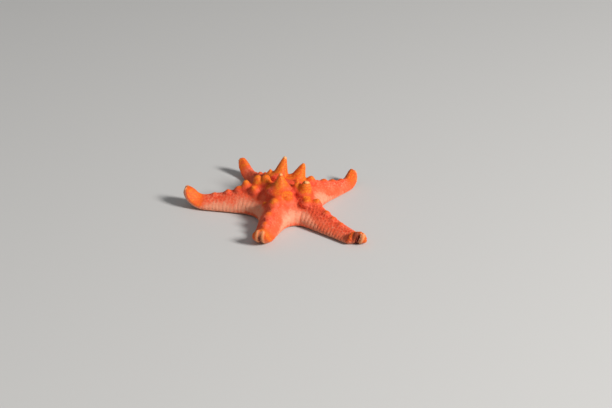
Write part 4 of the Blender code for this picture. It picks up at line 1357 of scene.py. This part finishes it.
class SEASTAR_OT_spines(bpy.types.Operator):
    """Sets the furrow spines, apart from the hollow with painted shadow at one tip, and the mouth's spines
    """
    bl_idname = "seastar.spines"
    bl_label = "Spines"

    def execute(self, context):
        sizes = context.scene.sea_star.sizes
        draw = random.Random(sizes.seed + 2)
        combs, stout = Growth(), Growth()
        for arm in STAR:
            for side in (1, -1):
                for station in stations_of(arm, COMB_FIRST, COMB_LAST, sizes.spine_pitch):
                    hollow_shadow = arm.gape and side < 0 and station >= arm.straight
                    if not hollow_shadow:
                        self.add_plate(arm, side, station, draw, combs, stout)
            self.add_jaw(arm, draw, stout)
        material = plain_material(context, "spines")
        unit = unit_turned("spine", SPINE_SHAPE, 6)
        settle("furrow_combs", combs.grow("furrow_combs", unit.copy()), material, "spines")
        settle("stout_spines", stout.grow("stout_spines", unit), material, "spines")
        return {"FINISHED"}

    def add_plate(self, arm, side, station, draw, combs, stout):
        """Spines of one plate on the furrow's rim: a comb of three and a stout one."""
        size = mix(1, 0.7, station / arm.length)
        half_width = float(arm.furrow_half_width(station))
        proud = min(TIP_PROUD, FLOOR_SHARE * floor_lift(arm, station))
        gape = arm.gape * float(ease(arm.straight - 4 * MM, arm.length - 4 * MM, station)) / TIP_GAPE
        for place in (-1, 0, 1):
            x = station + place * COMB_GAP
            root = arm.under_point(x, side * COMB_ROOT[0] * half_width, COMB_ROOT[1])
            across = mix(COMB_END[0], 0.85, gape) * draw.uniform(0.8, 1.25) * half_width
            end = arm.under_point(x + place * COMB_SPLAY + draw.uniform(-0.2, 0.2) * MM, side * across,
                                  COMB_END[1] - proud * draw.uniform(0.8, 1.0))
            combs.add(root, end, COMB_RADIUS * size * draw.uniform(0.88, 1.12))
        root = arm.under_point(station, side * STOUT_ROOT[0] * half_width, STOUT_ROOT[1])
        across = STOUT_END[0] * half_width * draw.uniform(0.92, 1.12)
        end = arm.under_point(station + draw.uniform(-0.25, 0.25) * MM, side * across,
                              STOUT_END[1] - 0.8 * proud)
        stout.add(root, end, STOUT_RADIUS * size * draw.uniform(0.88, 1.12))

    def add_jaw(self, arm, draw, stout):
        """A fan of spines that points into the mouth, at the notch on an arm's left."""
        for turn in JAW_FAN:
            angle = arm.azimuth + arm.sides[1][4] + math.radians(turn)
            outward = Vector((math.cos(angle), math.sin(angle), 0))
            root = outward * JAW_ROOT[0] + Vector((0, 0, JAW_ROOT[1]))
            end = outward * (JAW_END[0] + abs(turn) * 0.05 * MM) + Vector((0, 0, JAW_END[1]))
            stout.add(root, end, JAW_RADIUS * draw.uniform(0.85, 1.15))


# Tube feet, in a row on either side of a furrow
FOOT_FIRST, FOOT_LAST = 8.0 * MM, 5.0 * MM     # from the disc's middle, and from the tip
FOOT_ACROSS = 0.36            # place across, as a share of the furrow's half width
FOOT_SUNK = 0.7 * MM          # how far their roots lie in the furrow's roof
FOOT_PROUD = 0.8 * MM         # how far they reach below a tip that is off the floor
FOOT_RADIUS = 0.62 * MM


class SEASTAR_OT_feet(bpy.types.Operator):
    """Sets the tube feet in the furrows"""
    bl_idname = "seastar.feet"
    bl_label = "Tube feet"

    def execute(self, context):
        sizes = context.scene.sea_star.sizes
        draw = random.Random(sizes.seed + 3)
        feet = Growth()
        for arm in STAR:
            for side in (1, -1):
                first = FOOT_FIRST + side * sizes.foot_pitch / 4
                for station in stations_of(arm, first, FOOT_LAST, sizes.foot_pitch):
                    half_width = float(arm.furrow_half_width(station))
                    across = side * FOOT_ACROSS * half_width
                    roof = float(arm.furrow_height(station, across))
                    proud = min(FOOT_PROUD, FLOOR_SHARE * floor_lift(arm, station))
                    root = arm.under_point(station, across, roof + FOOT_SUNK)
                    end = arm.under_point(station + draw.uniform(-0.5, 0.5) * MM,
                                          across + side * draw.uniform(-0.1, 0.25) * MM,
                                          draw.uniform(0.35, 0.9) * MM - proud)
                    size = mix(1, 0.72, station / arm.length) * draw.uniform(0.88, 1.12)
                    feet.add(root, end, FOOT_RADIUS * size)
        unit = unit_turned("foot", FOOT_SHAPE, 8)
        settle("tube_feet", feet.grow("tube_feet", unit), plain_material(context, "feet"), "tube_feet")
        return {"FINISHED"}


class SEASTAR_OT_horn_tips(bpy.types.Operator):
    """Sets the bare tips on three of the tall horns"""
    bl_idname = "seastar.horn_tips"
    bl_label = "Bare horn tips"

    def execute(self, context):
        bm = bmesh.new()
        mesh = bpy.data.meshes.new("horn_tips")
        for horn in ALL_HORNS:
            if horn.bare:
                piece = horn.tip_mesh()
                piece.to_mesh(mesh)
                piece.free()
                bm.from_mesh(mesh)
        bm.to_mesh(mesh)
        bm.free()
        settle("horn_tips", mesh, plain_material(context, "tips"), "spines")
        return {"FINISHED"}


# Sieve plate: its arm and its place on the disc, its size, and the grooves on it
SIEVE_ARM = STAR[2]
SIEVE_RUN = -0.42
SIEVE_RADIUS = 2.0 * MM
SIEVE_RISE = 0.5 * MM         # height of its middle
SIEVE_SUNK = 1.1 * MM         # depth of its rim in the skin
SIEVE_RINGS, SIEVE_SIDES = 14, 72
INNER_GROOVES, OUTER_GROOVES = 9, 18
GROOVE_FORK = 0.45            # share of the radius at which the grooves double
GROOVE_DEPTH = 0.16 * MM


class SEASTAR_OT_sieve(bpy.types.Operator):
    """Sets the sieve plate, a round plate with wandering grooves, on the disc"""
    bl_idname = "seastar.sieve"
    bl_label = "Sieve plate"

    def execute(self, context):
        point = Vector(SIEVE_ARM.top(1, SIEVE_RUN, 1.0))
        along = Vector(SIEVE_ARM.top(1, SIEVE_RUN + 0.1, 1.0)) - point
        across = Vector(SIEVE_ARM.top(1, SIEVE_RUN, 0.9)) - point
        axis = along.cross(across).normalized()
        axis *= math.copysign(1, axis.z)
        rings = [ring / SIEVE_RINGS for ring in range(SIEVE_RINGS, -1, -1)]
        profile = [(0, -SIEVE_SUNK), (SIEVE_RADIUS, -SIEVE_SUNK)]
        profile += [(SIEVE_RADIUS * ring, SIEVE_RISE * (1 - ring ** 6)) for ring in rings]
        bm = turned(profile, SIEVE_SIDES, Vector(), Vector((0, 0, 1)))
        for vertex in bm.verts:
            if vertex.co.z > 0:
                place = vertex.co / SIEVE_RADIUS
                ring = math.hypot(place.x, place.y)
                angle = math.atan2(place.y, place.x) + 0.5 * noise.noise(place * 3.0)
                groove = math.cos(angle * (INNER_GROOVES if ring < GROOVE_FORK else OUTER_GROOVES)) ** 4
                vertex.co.z -= GROOVE_DEPTH * groove * min(ring * 4, 1) * (1 - ring ** 8)
        turn = axis.to_track_quat("Z", "Y").to_matrix().to_4x4()
        bmesh.ops.transform(bm, matrix=Matrix.Translation(point) @ turn, verts=bm.verts)
        mesh = bpy.data.meshes.new("sieve_plate")
        bm.to_mesh(mesh)
        bm.free()
        settle("sieve_plate", mesh, plain_material(context, "sieve"), "sieve_plate", "madreporite")
        return {"FINISHED"}


# Photograph's frame in pixels, and where the disc's middle lies in it
PHOTO_WIDTH, PHOTO_HEIGHT = 612, 408
DISC_IN_PHOTO = (287.3, 211.0)
LENS, SENSOR = 85.0, 36.0

# Lamps: azimuth and elevation in degrees, distance from the disc and width
LAMPS = {"key_lamp": (-34.6, 33, 3.0, 0.67), "fill_lamp": (-150, 40, 1.2, 0.9)}
SKY_COLOUR = (0.93, 0.96, 1.0, 1)
FLOOR_RADIUS = 4.0
FLOOR_DROP = 0.02 * MM        # how far the floor lies below the feet, so that they don't share a face


class SEASTAR_OT_stage(bpy.types.Operator):
    """Lays the floor, hangs the lamps and sets the camera"""
    bl_idname = "seastar.stage"
    bl_label = "Studio"

    def execute(self, context):
        studio = context.scene.sea_star.studio
        self.add_floor(studio)
        self.add_lamps(context.scene, studio)
        self.add_camera(context.scene, studio)
        return {"FINISHED"}

    def add_floor(self, studio):
        bm = bmesh.new()
        bmesh.ops.create_circle(bm, cap_ends=True, segments=96, radius=FLOOR_RADIUS)
        bmesh.ops.translate(bm, vec=(0, 0, -FLOOR_DROP), verts=bm.verts)
        mesh = bpy.data.meshes.new("floor")
        bm.to_mesh(mesh)
        bm.free()
        material, shader = own_nodes("floor")
        shader.inputs["Base Color"].default_value = studio.floor_colour
        shader.inputs["Roughness"].default_value = 0.9
        mesh.materials.append(material)
        link("floor", mesh)

    def add_lamps(self, scene, studio):
        powers = {"key_lamp": studio.key_power, "fill_lamp": studio.fill_power}
        for name, (azimuth, elevation, distance, size) in LAMPS.items():
            lamp = bpy.data.lights.new(name, "AREA")
            lamp.energy = powers[name]
            lamp.size = size
            item = bpy.data.objects.new(name, lamp)
            a, e = math.radians(azimuth), math.radians(elevation)
            towards = Vector((math.cos(a) * math.cos(e), math.sin(a) * math.cos(e), math.sin(e)))
            item.location = towards * distance + DISC_MIDDLE
            item.rotation_euler = towards.to_track_quat("Z", "Y").to_euler()
            scene.collection.objects.link(item)
        world = bpy.data.worlds.new("surroundings")
        world.use_nodes = True
        backdrop = world.node_tree.nodes["Background"]
        backdrop.inputs["Color"].default_value = SKY_COLOUR
        backdrop.inputs["Strength"].default_value = studio.sky
        scene.world = world
        scene.view_settings.view_transform = "Standard"

    def add_camera(self, scene, studio):
        camera = bpy.data.cameras.new("camera")
        camera.lens, camera.sensor_width = LENS, SENSOR
        item = bpy.data.objects.new("camera", camera)
        back = Vector((0, -math.cos(studio.elevation), math.sin(studio.elevation)))
        up = Vector((0, math.sin(studio.elevation), math.cos(studio.elevation)))
        pixel = studio.distance * SENSOR / LENS / PHOTO_WIDTH
        offset = Vector((1, 0, 0)) * (DISC_IN_PHOTO[0] - PHOTO_WIDTH / 2) * pixel
        offset -= up * (DISC_IN_PHOTO[1] - PHOTO_HEIGHT / 2) * pixel
        item.location = back * studio.distance - offset + DISC_MIDDLE
        item.rotation_euler = (math.pi / 2 - studio.elevation, 0, 0)
        scene.collection.objects.link(item)
        scene.camera = item


class SEASTAR_PT_panel(bpy.types.Panel):
    """Lists the pieces of the sea star and their settings"""
    bl_label = "Sea Star"
    bl_idname = "SEASTAR_PT_panel"
    bl_space_type = "VIEW_3D"
    bl_region_type = "UI"
    bl_category = "Sea Star"

    def draw(self, context):
        settings = context.scene.sea_star
        for operator in OPERATORS:
            self.layout.operator(operator.bl_idname)
        for group in (settings.sizes, settings.colours, settings.studio):
            box = self.layout.box()
            for name in group.__annotations__:
                box.prop(group, name)


OPERATORS = (SEASTAR_OT_skin, SEASTAR_OT_granules, SEASTAR_OT_spines, SEASTAR_OT_feet,
             SEASTAR_OT_horn_tips, SEASTAR_OT_sieve, SEASTAR_OT_stage)
CLASSES = (SeaStarSizes, SeaStarColours, StudioSettings, SeaStarSettings, *OPERATORS, SEASTAR_PT_panel)


def register():
    for item in CLASSES:
        bpy.utils.register_class(item)
    bpy.types.Scene.sea_star = PointerProperty(type=SeaStarSettings)


def unregister():
    del bpy.types.Scene.sea_star
    for item in reversed(CLASSES):
        bpy.utils.unregister_class(item)


def main():
    """Builds every piece and the stage."""
    register()
    bpy.ops.seastar.skin()
    bpy.ops.seastar.granules()
    bpy.ops.seastar.spines()
    bpy.ops.seastar.feet()
    bpy.ops.seastar.horn_tips()
    bpy.ops.seastar.sieve()
    bpy.ops.seastar.stage()


if __name__ == "__main__":
    main()
